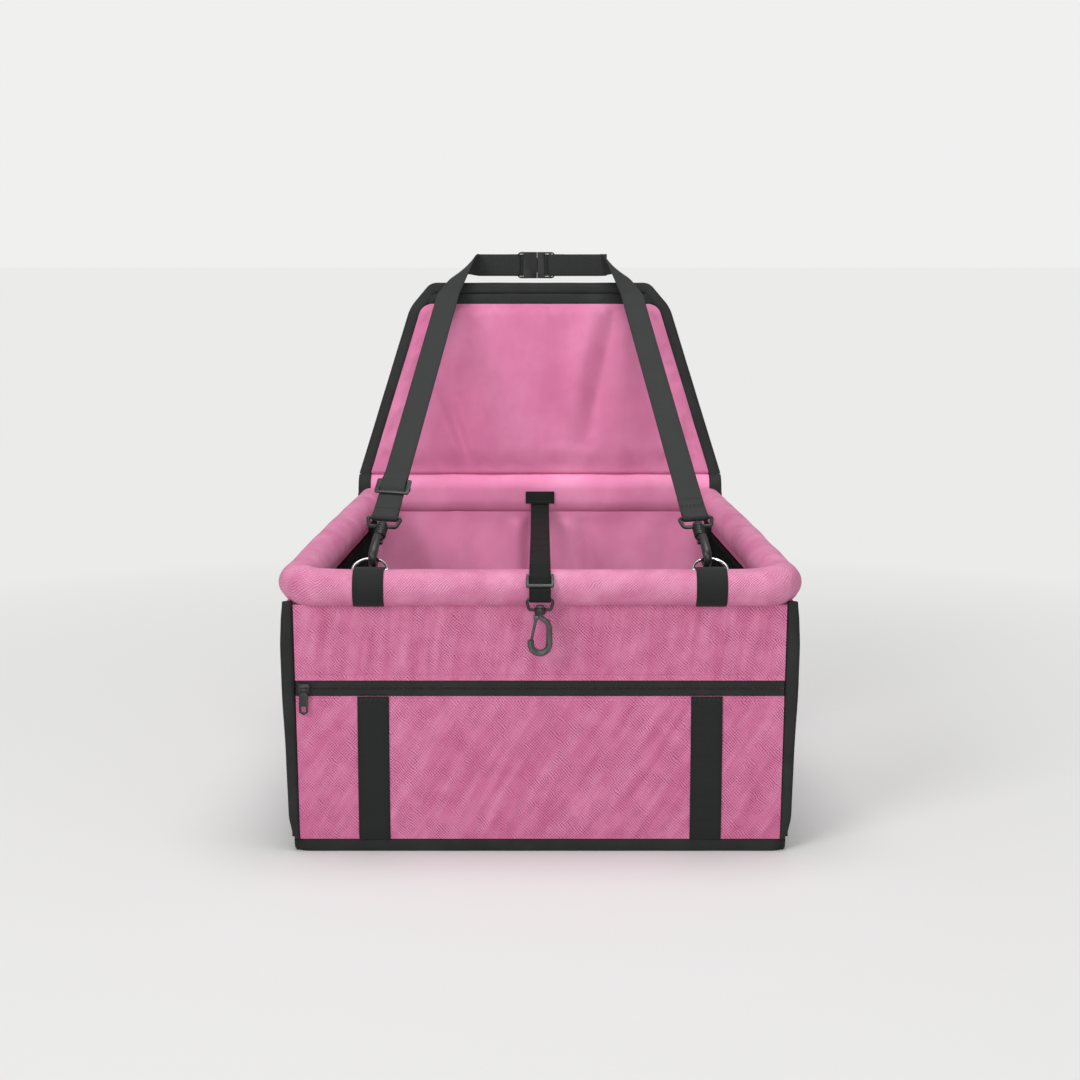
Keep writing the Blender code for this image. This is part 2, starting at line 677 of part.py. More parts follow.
def make_zip_slider():
    """Channel-shaped slider over the coil, with a hinged pull on its pin."""
    coil_front = FRONT_FACE_Y - COIL_DEPTH / 2
    back = FRONT_FACE_Y - GAP
    plate_back = coil_front - GAP
    plate_front = plate_back - SLIDER_PLATE
    half = SLIDER_HEIGHT / 2
    cavity = SLIDER_CAVITY_HEIGHT / 2
    profile = [(back, -half), (plate_front, -half), (plate_front, half), (back, half),
               (back, cavity), (plate_back, cavity), (plate_back, -cavity), (back, -cavity)]
    place = frame_at((SLIDER_REST_X, 0, ZIP_CENTRE_Z), (0, 1, 0), (1, 0, 0))
    slider = plate("zip_slider", profile, SLIDER_LENGTH, PLASTIC, place)

    eye_half = PULL_WIDTH / 2 - LUG_WIDTH - GAP
    pin_y = plate_front - GAP - PULL_EYE_RADIUS
    pin_z = ZIP_CENTRE_Z - PULL_PIN_DROP
    pin_half = eye_half + GAP + LUG_WIDTH
    for side, name in ((-1, "left"), (1, "right")):
        near = SLIDER_REST_X + side * (eye_half + GAP)
        far = near + side * LUG_WIDTH
        low = (min(near, far), pin_y - PULL_EYE_RADIUS, pin_z - PULL_EYE_RADIUS)
        high = (max(near, far), plate_front + SLIDER_PLATE / 2, pin_z + PULL_EYE_RADIUS)
        combine(slider, box(f"slider_lug_{name}", low, high), "UNION")
    pin = rod("slider_pin", (SLIDER_REST_X - pin_half, pin_y, pin_z), (SLIDER_REST_X + pin_half, pin_y, pin_z),
              PULL_PIN_RADIUS)
    combine(slider, pin, "UNION")

    # The pull's outline hangs below the pin, with a pointed end and a hole near it
    shoulder = PULL_EYE_RADIUS * 2
    point = PULL_WIDTH / 3
    wide = PULL_WIDTH / 2
    foot = -PULL_LENGTH
    outline = [(-eye_half, 0.0), (-eye_half, -shoulder), (-wide, -shoulder - GAP), (-wide, foot + point),
               (0.0, foot), (wide, foot + point), (wide, -shoulder - GAP), (eye_half, -shoulder), (eye_half, 0.0)]
    hole_half = PULL_HOLE_WIDTH / 2
    hole_low = foot + point
    hole = rounded([(-hole_half, hole_low), (hole_half, hole_low), (hole_half, hole_low + PULL_HOLE_HEIGHT),
                    (-hole_half, hole_low + PULL_HOLE_HEIGHT)], [hole_half * 2 / 3] * 4)
    pull_frame = frame_at((SLIDER_REST_X, pin_y, pin_z), (1, 0, 0), (0, -1, 0))
    pull = plate("zip_pull", outline, PULL_THICKNESS, GATE_PLASTIC, pull_frame, holes=[hole])
    start = (SLIDER_REST_X - eye_half, pin_y, pin_z)
    end = (SLIDER_REST_X + eye_half, pin_y, pin_z)
    eye = rod("pull_eye", start, end, PULL_EYE_RADIUS)
    combine(pull, eye, "UNION")
    reach = Vector((OVERCUT, 0, 0))
    bore = rod("pull_bore", Vector(start) - reach, Vector(end) + reach, PULL_PIN_RADIUS + GAP)
    combine(pull, bore, "DIFFERENCE")


def rear_y(z):
    """Depth of the middle of the rear wall at a height."""
    share = z / (REAR_Z - CHANNEL_HEIGHT / 2)
    return REAR_FOOT_Y + (REAR_TOP_Y - REAR_FOOT_Y) * share


def make_side_walls():
    """Each side has a cloth band under the rim and a net below it."""
    start = rim_centre(SIDE_FRONT_Y, 1)
    for side, name in ((-1, "left"), (1, "right")):
        ahead = rim_centre(REAR_Y, side) - rim_centre(SIDE_FRONT_Y, side)
        flat = Vector((ahead.x, ahead.y, 0)).normalized()
        origin = (side * (start.x + SIDE_OFFSET), SIDE_FRONT_Y, 0)
        # local X runs back along the wall, local Y up
        frame = frame_at(origin, flat, flat.cross(Vector((0, 0, 1))))
        run = 1 / flat.y
        slope = RIM_RISE / RIM_DEPTH * flat.y
        top = start.z - SLEEVE_RADIUS - GAP
        rear_clear = REAR_THICKNESS / 2 + GAP * 2

        def rear(z):
            return (rear_y(z) - rear_clear - SIDE_FRONT_Y) * run

        end_top = top + slope * rear(REAR_Z - CHANNEL_HEIGHT / 2)
        end_top = min(end_top, REAR_Z - CHANNEL_HEIGHT / 2 - GAP)
        band_low = top - SIDE_BAND_HEIGHT
        end_low = end_top - SIDE_BAND_HEIGHT
        band = [(0, band_low), (rear(end_low), end_low), (rear(end_top), end_top), (0, top)]
        plate(f"side_band_{name}", band, SIDE_THICKNESS, PINK, frame)

        foot = BINDING_HEIGHT + GAP
        high_front = band_low - GAP
        high_rear = end_low - GAP
        outline = [(0, foot), (rear(foot), foot), (rear(high_rear), high_rear), (0, high_front)]
        low_z = foot + MESH_BORDER
        columns = [i / MESH_COLUMNS for i in range(MESH_COLUMNS + 1)]
        rows = [i / MESH_ROWS for i in range(MESH_ROWS + 1)]

        def net_point(column, row):
            front_z = low_z + (high_front - MESH_BORDER - low_z) * row
            rear_z = low_z + (high_rear - MESH_BORDER - low_z) * row
            z = front_z + (rear_z - front_z) * column
            return Vector((MESH_BORDER + (rear(z) - 2 * MESH_BORDER) * column, z))

        holes = []
        cord = Vector((MESH_CORD / 2, MESH_CORD / 2))
        for left, right in zip(columns, columns[1:]):
            for low, high in zip(rows, rows[1:]):
                holes.append([
                    net_point(left, low) + cord, net_point(right, low) + Vector((-cord.x, cord.y)),
                    net_point(right, high) - cord, net_point(left, high) + Vector((cord.x, -cord.y))])
        plate(f"mesh_window_{name}", outline, SIDE_THICKNESS, NET, frame, holes=holes)


def make_rear_wall():
    """Leaning rear wall and the four corner bindings."""
    foot = BASE_HEIGHT + 2 * GAP
    top = REAR_Z - CHANNEL_HEIGHT / 2 - 2 * GAP
    foot_point = Vector((0, rear_y(foot), foot))
    top_point = Vector((0, rear_y(top), top))
    up = top_point - foot_point
    frame = frame_at(foot_point, (1, 0, 0), Vector((1, 0, 0)).cross(up))
    cover = SIDE_OFFSET + SIDE_THICKNESS / 2
    foot_half = side_x(foot_point.y, cover)
    top_half = side_x(top_point.y, cover)
    outline = [(-foot_half, 0), (foot_half, 0), (top_half, up.length), (-top_half, up.length)]
    plate("rear_wall", outline, REAR_THICKNESS, PINK, frame)

    back = up.normalized().cross(Vector((1, 0, 0)))
    for side, name in ((-1, "left"), (1, "right")):
        behind = back * (REAR_THICKNESS / 2 + GAP + REAR_CORNER_THICKNESS / 2)
        low = Vector((side * (foot_half - REAR_CORNER_WIDTH / 3), foot_point.y, foot)) + behind
        high = Vector((side * (top_half - REAR_CORNER_WIDTH / 3), top_point.y, top)) + behind
        rise = BINDING_HEIGHT * 2 - foot
        low = low + (high - low) * rise / (high.z - low.z)
        ribbon(f"corner_binding_rear_{name}", [low, high], [Vector((1, 0, 0))] * 2,
               REAR_CORNER_WIDTH, REAR_CORNER_THICKNESS, BLACK)

        inner = FRONT_HALF_TOP + GAP
        outer = inner + CORNER_WIDTH
        rear = SIDE_FRONT_Y - GAP
        ends = [(side * inner, CORNER_FRONT_Y), (side * outer, CORNER_FRONT_Y), (side * outer, rear), (side * inner, rear)]
        if side < 0:
            ends.reverse()
            radii = [0, 0, CORNER_ROUND, 0]
        else:
            radii = [0, CORNER_ROUND, 0, 0]
        foot_z = BINDING_HEIGHT + GAP
        top_z = RIM_FRONT_Z - SLEEVE_RADIUS - GAP
        plate(f"corner_binding_front_{name}", rounded(ends, radii), top_z - foot_z, BLACK,
              Matrix.Translation((0, 0, (foot_z + top_z) / 2)))


RING_BAR_REACH = SLEEVE_RADIUS + GAP + RING_WIRE
RING_BAR_Y = RIM_FRONT_Y + RING_BAR_REACH * math.cos(math.radians(RING_BAR_ANGLE))
RING_BAR_Z = RIM_FRONT_Z + RING_BAR_REACH * math.sin(math.radians(RING_BAR_ANGLE))
RING_LENGTH = RING_SIDE + RING_HALF


def strap_frame(side):
    """Frame on the ring bar: Z up the strap, X across the webbing."""
    origin = Vector((side * TAB_X, RING_BAR_Y, RING_BAR_Z))
    top = Vector((side * STRAP_TOP_X, STRAP_TOP_Y, STRAP_TOP_Z))
    return frame_at(origin, (1, 0, 0), top - origin)


def make_tab(side, name):
    """Webbing that hugs the rim and carries the D-ring's bar."""
    around = SLEEVE_RADIUS + GAP + TAB_THICKNESS / 2
    small = RING_WIRE + GAP + TAB_THICKNESS / 2
    spread = math.degrees(math.acos((around - small) / RING_BAR_REACH))
    high = RING_BAR_ANGLE + spread
    low = RING_BAR_ANGLE - spread
    line = arc(RIM_FRONT_Y, RIM_FRONT_Z, around, TAB_FRONT_ANGLE, high, TAB_STEPS)
    line += arc(RING_BAR_Y, RING_BAR_Z, small, high, low, TAB_STEPS // 2)
    line += arc(RIM_FRONT_Y, RIM_FRONT_Z, around, low, TAB_REAR_ANGLE, TAB_STEPS // 2)
    points = [Vector((side * TAB_X, y, z)) for y, z in line]
    ribbon(f"ring_tab_{name}", points, [Vector((1, 0, 0))] * len(points), TAB_WIDTH, TAB_THICKNESS, WEBBING)


def make_ring(side, name, strap):
    """D-ring: straight bar in the tab, round bow towards the hook."""
    along = strap.to_3x3() @ Vector((0, 0, 1))
    frame = frame_at(strap.translation, (1, 0, 0), (0, along.y, along.z))
    line = rounded([(RING_HALF, 0, RING_SIDE), (RING_HALF, 0, 0), (-RING_HALF, 0, 0), (-RING_HALF, 0, RING_SIDE)],
                   [0, RING_SIDE / 2, RING_SIDE / 2, 0], closed=False)
    steps = 14
    for i in range(1, steps):
        angle = math.pi - math.pi * i / steps
        line.append(Vector((RING_HALF * math.cos(angle), 0, RING_SIDE + RING_HALF * math.sin(angle))))
    bar(f"d_ring_{name}", [frame @ point for point in line], RING_WIRE, CHROME, resolution=3, cyclic=True)


def make_bow(name, frame, wire, half, height, barrel_length):
    """Webbing loop with a round barrel that the hook's shank turns in.

    The frame's origin is the middle of the lower cross bar, Z towards the webbing.
    """
    corners = [(-half * 0.80, 0, 0), (half * 0.80, 0, 0), (half, 0, height), (-half, 0, height)]
    loop = [frame @ point for point in rounded(corners, [BOW_CORNER * 2 / 3] * 4)]
    bow = bar(name, loop, wire, PLASTIC, resolution=2, cyclic=True)
    up = frame.to_3x3() @ Vector((0, 0, 1))
    origin = frame.translation
    barrel = rod(f"{name}_barrel", origin - up * barrel_length, origin + up * BARREL_TOP, BARREL_RADIUS)
    combine(bow, barrel, "UNION")
    ribs = BARREL_RIB_COUNT if barrel_length > BARREL_RADIUS else 0
    pitch = barrel_length / (2 * BARREL_RIB_COUNT + 1)
    for i in range(ribs):
        low = origin - up * (barrel_length - pitch * (2 * i + 1))
        rib = rod(f"{name}_rib_{i}", low, low + up * pitch, BARREL_RADIUS + BARREL_RIB)
        combine(bow, rib, "UNION")
    bore = rod(f"{name}_bore", origin - up * (barrel_length + OVERCUT), origin + up * (BARREL_TOP + OVERCUT),
               SHANK_RADIUS + SHANK_CLEARANCE)
    combine(bow, bore, "DIFFERENCE")
    return bow


def make_hook(name, gate_name, frame, barrel_length, length=HOOK_EYE_LENGTH):
    """Swivel snap hook: headed shank, J-shaped body and a gate on its open side.

    The frame is the bow's, with the hook lying in the frame's YZ plane.
    """
    middle = HOOK_EYE + HOOK_WIRE
    neck = -barrel_length - GAP * 4 / 3
    shoulder = neck - HOOK_NECK
    eye_low = neck - length
    bend_z = eye_low + HOOK_EYE
    line = [(0, neck), (0, shoulder), (-middle * 0.35, shoulder - HOOK_SHOULDER * 0.30),
            (-middle * 0.82, shoulder - HOOK_SHOULDER * 0.65), (-middle, shoulder - HOOK_SHOULDER * 1.25),
            (-middle, (shoulder + bend_z) / 2)]
    line += arc(0, bend_z, middle, 180, 360, 10)
    line.append((middle, bend_z + NOSE_RISE))
    hook = bar(name, [Vector((0, y, z)) for y, z in line], HOOK_WIRE, PLASTIC, resolution=4)
    hook.data.transform(Matrix.Diagonal((HOOK_WIDEN, 1, 1, 1)))
    hook.matrix_world = frame
    shank_top = BARREL_TOP + GAP
    parts = [
        rod(f"{name}_shank", (0, 0, shoulder), (0, 0, shank_top + HEAD_HEIGHT / 2), SHANK_RADIUS),
        rod(f"{name}_head", (0, 0, shank_top), (0, 0, shank_top + HEAD_HEIGHT), HEAD_RADIUS),
        rod(f"{name}_lug", (-LUG_HALF, LUG_OFFSET, shoulder - LUG_DROP + HOOK_NECK),
            (LUG_HALF, LUG_OFFSET, shoulder - LUG_DROP + HOOK_NECK), LUG_RADIUS),
    ]
    for part in parts:
        part.matrix_world = frame
        combine(hook, part, "UNION")

    pivot = Vector((0, LUG_OFFSET, shoulder - LUG_DROP + HOOK_NECK))
    tip = Vector((0, middle - GAP * 2, bend_z + NOSE_RISE + GAP * 4 / 3))
    away = (tip - pivot).normalized()
    gate = rod(gate_name, pivot + away * (LUG_RADIUS + GAP * 4 / 3), tip, GATE_RADIUS, GATE_PLASTIC, SEAT,
               sides=12, tip=GATE_RADIUS * 0.85)
    gate.data.transform(Matrix.Translation(-pivot))
    gate.matrix_world = frame @ Matrix.Translation(pivot)
    return pivot


def make_glide(name, frame, web, length, side_wall):
    """Adjuster: a frame in front of the webbing and a cross bar behind it.

    The frame's origin is the middle of the webbing, X across it, Z along it and -Y to its outer face.
    """
    half = web / 2 + GAP
    outer = half + side_wall
    near = -(WEBBING_THICKNESS / 2 + GAP)
    far = near - GLIDE_PLATE
    corners = [(-outer, -length / 2), (outer, -length / 2), (outer, length / 2), (-outer, length / 2)]
    opening = [(-half, -length / 2 + GLIDE_BAR), (half, -length / 2 + GLIDE_BAR),
               (half, length / 2 - GLIDE_BAR), (-half, length / 2 - GLIDE_BAR)]
    face = frame @ Matrix.Translation((0, (near + far) / 2, 0)) @ Matrix.Rotation(math.pi / 2, 4, "X")
    glide = plate(name, rounded(corners, [side_wall / 2] * 4), GLIDE_PLATE, PLASTIC, face,
                  holes=[opening])
    back = -near + GLIDE_BACK_BAR
    cross = box(f"{name}_bar", (-outer, -near, -GLIDE_BAR / 2), (outer, back, GLIDE_BAR / 2), frame=frame)
    combine(glide, cross, "UNION")
    for side, tag in ((-1, "left"), (1, "right")):
        low = (min(side * half, side * outer), (near + far) / 2, -GLIDE_BAR / 2)
        high = (max(side * half, side * outer), back, GLIDE_BAR / 2)
        combine(glide, box(f"{name}_cheek_{tag}", low, high, frame=frame), "UNION")
    return glide


def lap_points(bar_at, bar_radius, lap_end, steps=6):
    """Webbing that folds round a bar: (along, outward) pairs, from the lap's end to the run."""
    turn = bar_radius + GAP + WEBBING_THICKNESS / 2
    near = LAP_SPACING / 2
    settle = bar_at + turn * 4
    line = [(lap_end, -near), (settle, -near), (bar_at + turn, -turn * 0.9)]
    for i in range(steps + 1):
        angle = math.radians(-90 - 180 * i / steps)
        line.append((bar_at + turn * math.cos(angle), turn * math.sin(angle)))
    line += [(bar_at + turn, turn * 0.9), (settle, near)]
    return line


def make_strap(side, name, lap):
    """One long strap, from its fold round the bow to the turn behind the head rest."""
    frame = strap_frame(side)
    across = (frame.to_3x3() @ Vector((1, 0, 0))).normalized()
    line = lap_points(BAR_STATION, BOW_WIRE, BAR_STATION + lap)
    points = [frame @ Vector((0, -outward, along)) for along, outward in line]
    directions = [across] * len(points)
    run_length = (Vector((side * STRAP_TOP_X, STRAP_TOP_Y, STRAP_TOP_Z)) - frame.translation).length
    for share in (0.24, 0.31, 0.48, 0.66, 0.84, 1.0):
        points.append(frame @ Vector((0, 0, run_length * share)))
        directions.append(across)
    knots = [points[-1]]
    for place in (STRAP_LIFT, STRAP_OVER, STRAP_TURN):
        knots.append(Vector((side * place.x, place.y, place.z)))
    twist = spline_through(knots, 3)[1:]
    upright_edge = Vector((0, 0, 1)) * -side
    for i, point in enumerate(twist):
        share = (i + 1) / len(twist)
        points.append(point)
        directions.append(across.slerp(upright_edge, share))
    return points, directions


def make_straps():
    """Tabs, rings, bows, hooks, straps and the adjuster on the left strap."""
    for side, name, lap in ((-1, "left", LAP_LENGTH), (1, "right", RIGHT_LAP_LENGTH)):
        frame = strap_frame(side)
        make_tab(side, name)
        make_ring(side, name, frame)
        bow_frame = frame @ Matrix.Translation((0, 0, BAR_STATION - BOW_HEIGHT))
        make_bow(f"hook_bow_{name}", bow_frame, BOW_WIRE, BOW_HALF, BOW_HEIGHT, BARREL_LENGTH)
        make_hook(f"snap_hook_{name}", f"hook_gate_{name}", bow_frame, BARREL_LENGTH)
        points, directions = make_strap(side, name, lap)
        if side < 0:
            end_x = BUCKLE_X - FEMALE_LENGTH + BUCKLE_BAR / 2
            turn = BUCKLE_BAR / math.sqrt(2) + GAP + WEBBING_THICKNESS / 2
            y = STRAP_TURN.y
            z = STRAP_TURN.z
            tail = [Vector((end_x - turn * 3, y - turn * 0.4, z)), Vector((end_x - turn, y - turn * 0.9, z))]
            for i in range(7):
                angle = math.radians(-90 + 180 * i / 6)
                tail.append(Vector((end_x + turn * math.cos(angle), y + turn * math.sin(angle), z)))
            tail += [Vector((end_x - turn, y + turn * 0.9, z)), Vector((end_x - turn * 4, y + turn * 0.8, z))]
            points += tail
            directions += [directions[-1]] * len(tail)
        ribbon(f"strap_{name}", points, directions, WEBBING_WIDTH, WEBBING_THICKNESS, WEBBING)
    glide_frame = strap_frame(-1) @ Matrix.Translation((0, 0, GLIDE_STATION))
    make_glide("strap_adjuster", glide_frame, WEBBING_WIDTH, GLIDE_LENGTH, GLIDE_SIDE)


def make_tether():
    """Safety tether: sewn to the channel, laid over the front rim, with its own hook."""
    web_y = CHANNEL_FRONT_Y - GAP - WEBBING_THICKNESS / 2
    patch_y = web_y - WEBBING_THICKNESS / 2 - GAP - TETHER_PATCH_THICKNESS / 2
    half = TETHER_PATCH_WIDTH / 2
    high = TETHER_PATCH_Z + TETHER_PATCH_HEIGHT / 2
    low = TETHER_PATCH_Z - TETHER_PATCH_HEIGHT / 2
    plate("tether_anchor", [(-half, low), (half, low), (half, high), (-half, high)], TETHER_PATCH_THICKNESS,
          WEBBING, upright(patch_y))

    over = SLEEVE_RADIUS + GAP + WEBBING_THICKNESS / 2
    wrap = arc(RIM_FRONT_Y, RIM_FRONT_Z, over, TETHER_WRAP_FROM, TETHER_WRAP_TO, 4)
    angle = math.radians(TETHER_WRAP_TO)
    fall = Vector((-math.sin(angle), math.cos(angle)))
    leave = Vector(wrap[-1])
    turn = TETHER_BOW_WIRE + GAP + WEBBING_THICKNESS / 2
    hang_y = TETHER_BAR_Y - turn
    run = (leave.x - hang_y) / -fall.x
    knee = leave + fall * run
    bend = rounded([leave, knee, (hang_y, TETHER_BAR_Z)], [0, TETHER_GLIDE_LENGTH / 4, 0], closed=False)
    loop = arc(TETHER_BAR_Y, TETHER_BAR_Z, turn, 180, 360, 6)
    line = [(web_y, high - GAP), (web_y, low - GAP), (web_y - turn, low - turn)]
    line += TETHER_ROUTE + wrap + [(point.x, point.y) for point in bend[1:]] + loop[1:]
    line.append((TETHER_BAR_Y + turn, TETHER_BAR_Z + TETHER_LAP))
    points = [Vector((0, y, z)) for y, z in line]
    ribbon("tether_webbing", points, [Vector((1, 0, 0))] * len(points), TETHER_WIDTH, WEBBING_THICKNESS, WEBBING)

    middle = leave + fall * TETHER_GLIDE_LENGTH * 0.53
    glide_frame = frame_at((0, middle.x, middle.y), (1, 0, 0), (0, -fall.x, -fall.y))
    make_glide("tether_adjuster", glide_frame, TETHER_WIDTH, TETHER_GLIDE_LENGTH, TETHER_GLIDE_SIDE)

    bow_frame = Matrix.Translation((0, TETHER_BAR_Y, TETHER_BAR_Z - TETHER_BOW_HEIGHT))
    make_bow("tether_bow", bow_frame, TETHER_BOW_WIRE, TETHER_BOW_HALF, TETHER_BOW_HEIGHT, TETHER_BARREL_LENGTH)
    face_on = bow_frame @ Matrix.Rotation(math.pi / 2, 4, "Z")
    make_hook("tether_hook", "tether_gate", face_on, TETHER_BARREL_LENGTH, TETHER_HOOK_LENGTH)


def panel_half(v):
    """Half width of the whole panel at a height along it."""
    shoulder = PANEL_HEIGHT - PANEL_SHOULDER_DROP
    share = min(v / shoulder, 1.0)
    return PANEL_HALF_FOOT + (PANEL_HALF_SHOULDER - PANEL_HALF_FOOT) * share


def make_back_panel():
    """Padded panel with a bound edge and a plain band along its top."""
    lean = math.radians(PANEL_LEAN)
    up = Vector((0, math.sin(lean), math.cos(lean)))
    back = Vector((0, math.cos(lean), -math.sin(lean)))
    hinge = Vector((0, REAR_Y, REAR_Z + CHANNEL_HEIGHT / 2 + HINGE_Z_RISE))
    place = Matrix((Vector((-1, 0, 0)), up, back)).transposed().to_4x4()
    place.translation = hinge + back * PAD_THICKNESS / 2

    foot = PANEL_START
    shoulder = PANEL_HEIGHT - PANEL_SHOULDER_DROP
    width = SIDE_BINDING_WIDTH
    band_low = PANEL_HEIGHT - TOP_BAND_HEIGHT
    inner_foot = panel_half(foot) - width - GAP
    inner_band = panel_half(band_low) - width - GAP
    pad = rounded([(-inner_foot, foot), (inner_foot, foot), (inner_band, band_low - GAP), (-inner_band, band_low - GAP)],
                  [PAD_EDGE, PAD_EDGE, width, width])
    plate("back_panel", pad, PAD_THICKNESS, PINK, place, edge=PAD_EDGE)

    top_inner = PANEL_HALF_TOP - width
    outer_half = panel_half(foot)
    ring = [(-outer_half, foot), (-PANEL_HALF_SHOULDER, shoulder), (-PANEL_HALF_TOP, PANEL_HEIGHT),
            (-top_inner, PANEL_HEIGHT), (-inner_band - GAP, band_low), (-panel_half(foot) + width, foot)]
    for side, name in ((1, "right"), (-1, "left")):
        outline = [(x * side, v) for x, v in ring]
        if side < 0:
            outline.reverse()
            radii = [0, 0, 0, 0, width, 0]
        else:
            radii = [0, width, 0, 0, 0, 0]
        plate(f"panel_binding_{name}", rounded(outline, radii), BINDING_PAD_THICKNESS, BLACK, place)
    slope = top_inner - inner_band - GAP
    inner_low = inner_band - GAP
    band = [(-inner_low, band_low + GAP), (inner_low, band_low + GAP),
            (inner_low + slope, PANEL_HEIGHT), (-inner_low - slope, PANEL_HEIGHT)]
    plate("panel_top_band", band, BINDING_PAD_THICKNESS, BLACK, place)


def make_buckle():
    """Side-release buckle on the strap behind the head rest posts."""
    y = STRAP_TURN.y
    z = STRAP_TURN.z
    place = frame_at((0, y, z), (1, 0, 0), (0, -1, 0))
    half = BUCKLE_HEIGHT / 2
    left = BUCKLE_X - FEMALE_LENGTH
    corners = [(left, -half), (BUCKLE_X, -half), (BUCKLE_X, half), (left, half)]
    female = plate("buckle_female", rounded(corners, [BUCKLE_ROUND, GAP, GAP, BUCKLE_ROUND]), BUCKLE_DEPTH,
                   PLASTIC, place)
    slot_left = left + BUCKLE_BAR
    slot_half = WEBBING_WIDTH / 2 + GAP * 2
    deep = BUCKLE_DEPTH
    combine(female, box("female_slot", (slot_left, y - deep, z - slot_half),
                        (slot_left + BUCKLE_SLOT, y + deep, z + slot_half)), "DIFFERENCE")
    thin = BUCKLE_DEPTH / 2 - BUCKLE_BAR / 2
    for side, name in ((-1, "front"), (1, "back")):
        near = y + side * (BUCKLE_DEPTH / 2 - thin)
        far = y + side * deep
        combine(female, box(f"female_relief_{name}", (left - OVERCUT, min(near, far), z - slot_half),
                            (slot_left + OVERCUT / 4, max(near, far), z + slot_half)), "DIFFERENCE")
    cavity_left = slot_left + BUCKLE_SLOT + BUCKLE_WALL
    inner = BUCKLE_DEPTH / 2 - BUCKLE_WALL
    tall = half - BUCKLE_WALL
    combine(female, box("female_cavity", (cavity_left, y - inner, z - tall), (BUCKLE_X + OVERCUT, y + inner, z + tall)),
            "DIFFERENCE")
    window_left = cavity_left + BUCKLE_WALL
    combine(female, box("female_window", (window_left, y - inner, z - half - OVERCUT),
                        (window_left + WINDOW_LENGTH, y + inner, z + half + OVERCUT)), "DIFFERENCE")

    # Male half: flange, ladder bars and a body that the two arms spring from
    right = BUCKLE_X + GAP + MALE_LENGTH
    flange = BUCKLE_X + GAP
    male_corners = [(flange, -half), (right, -half), (right, half), (flange, half)]
    male = plate("buckle_male", rounded(male_corners, [GAP, BUCKLE_ROUND, BUCKLE_ROUND, GAP]),
                 BUCKLE_DEPTH * 0.7, PLASTIC, place)
    slot_start = flange + MALE_FLANGE * 2
    combine(male, box("male_slot", (slot_start, y - deep, z - slot_half),
                      (slot_start + BUCKLE_SLOT, y + deep, z + slot_half)), "DIFFERENCE")
    second = slot_start + BUCKLE_SLOT + BUCKLE_BAR
    combine(male, box("male_relief_front", (slot_start - OVERCUT / 4, y - deep, z - slot_half),
                      (right + OVERCUT, y - BUCKLE_BAR / 2, z + slot_half)), "DIFFERENCE")
    combine(male, box("male_relief_back", (slot_start - OVERCUT / 4, y + BUCKLE_BAR / 2, z - slot_half),
                      (right + OVERCUT, y + deep, z + slot_half)), "DIFFERENCE")
    combine(male, box("male_ladder", (second, y - deep, z - slot_half), (right - BUCKLE_BAR, y + deep, z + slot_half)),
            "DIFFERENCE")

    arm_depth = ARM_DEPTH / 2
    reach = flange - GAP - ARM_REACH
    spread = ARM_SPREAD
    wide = ARM_WIDTH
    outline = [
        (flange - GAP, -spread - wide / 2), (flange - GAP, -spread + wide / 2),
        (reach + wide, -spread + wide), (reach + wide, spread - wide),
        (flange - GAP, spread - wide / 2), (flange - GAP, spread + wide / 2),
        (reach + wide * 2, spread + wide / 2), (reach + wide, spread + wide / 2 + BARB),
        (reach, spread), (reach, -spread),
        (reach + wide, -spread - wide / 2 - BARB), (reach + wide * 2, -spread - wide / 2)]
    plate("buckle_arms", outline, 2 * arm_depth, PLASTIC, place)

    turn = BUCKLE_BAR / math.sqrt(2) + GAP + WEBBING_THICKNESS / 2
    bar_x = second - BUCKLE_BAR / 2
    start = Vector((STRAP_TURN.x - GAP * 4, y, z))
    points = [start, Vector((right + turn * 2, y - turn * 0.9, z)), Vector((bar_x + turn, y - turn, z))]
    for i in range(7):
        angle = math.radians(-90 - 180 * i / 6)
        points.append(Vector((bar_x + turn * math.cos(angle), y + turn * math.sin(angle), z)))
    points += [Vector((right + turn, y + turn * 0.95, z)), Vector((right + turn * 4, y + turn * 0.9, z))]
    ribbon("strap_buckle_end", points, [Vector((0, 0, 1))] * len(points), WEBBING_WIDTH, WEBBING_THICKNESS, WEBBING)


make_frame()
make_rim()
make_base()
make_front_wall()
make_zip_slider()
make_side_walls()
make_rear_wall()
make_straps()
make_tether()
make_back_panel()
make_buckle()
bpy.context.view_layer.update()
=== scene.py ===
# %% [markdown]
# # A dog car seat, dressed with cloth, webbing and moulded plastic
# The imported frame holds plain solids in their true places. This lesson covers them with
# what the eye expects: woven cloth that folds, nets, webbing, stitches and a working zip.
# Everything is made in metres, in the frame's own axes: +X right, +Y back, +Z up.

import json
import math
from contextlib import contextmanager

import bpy
from mathutils import Matrix, Vector, noise

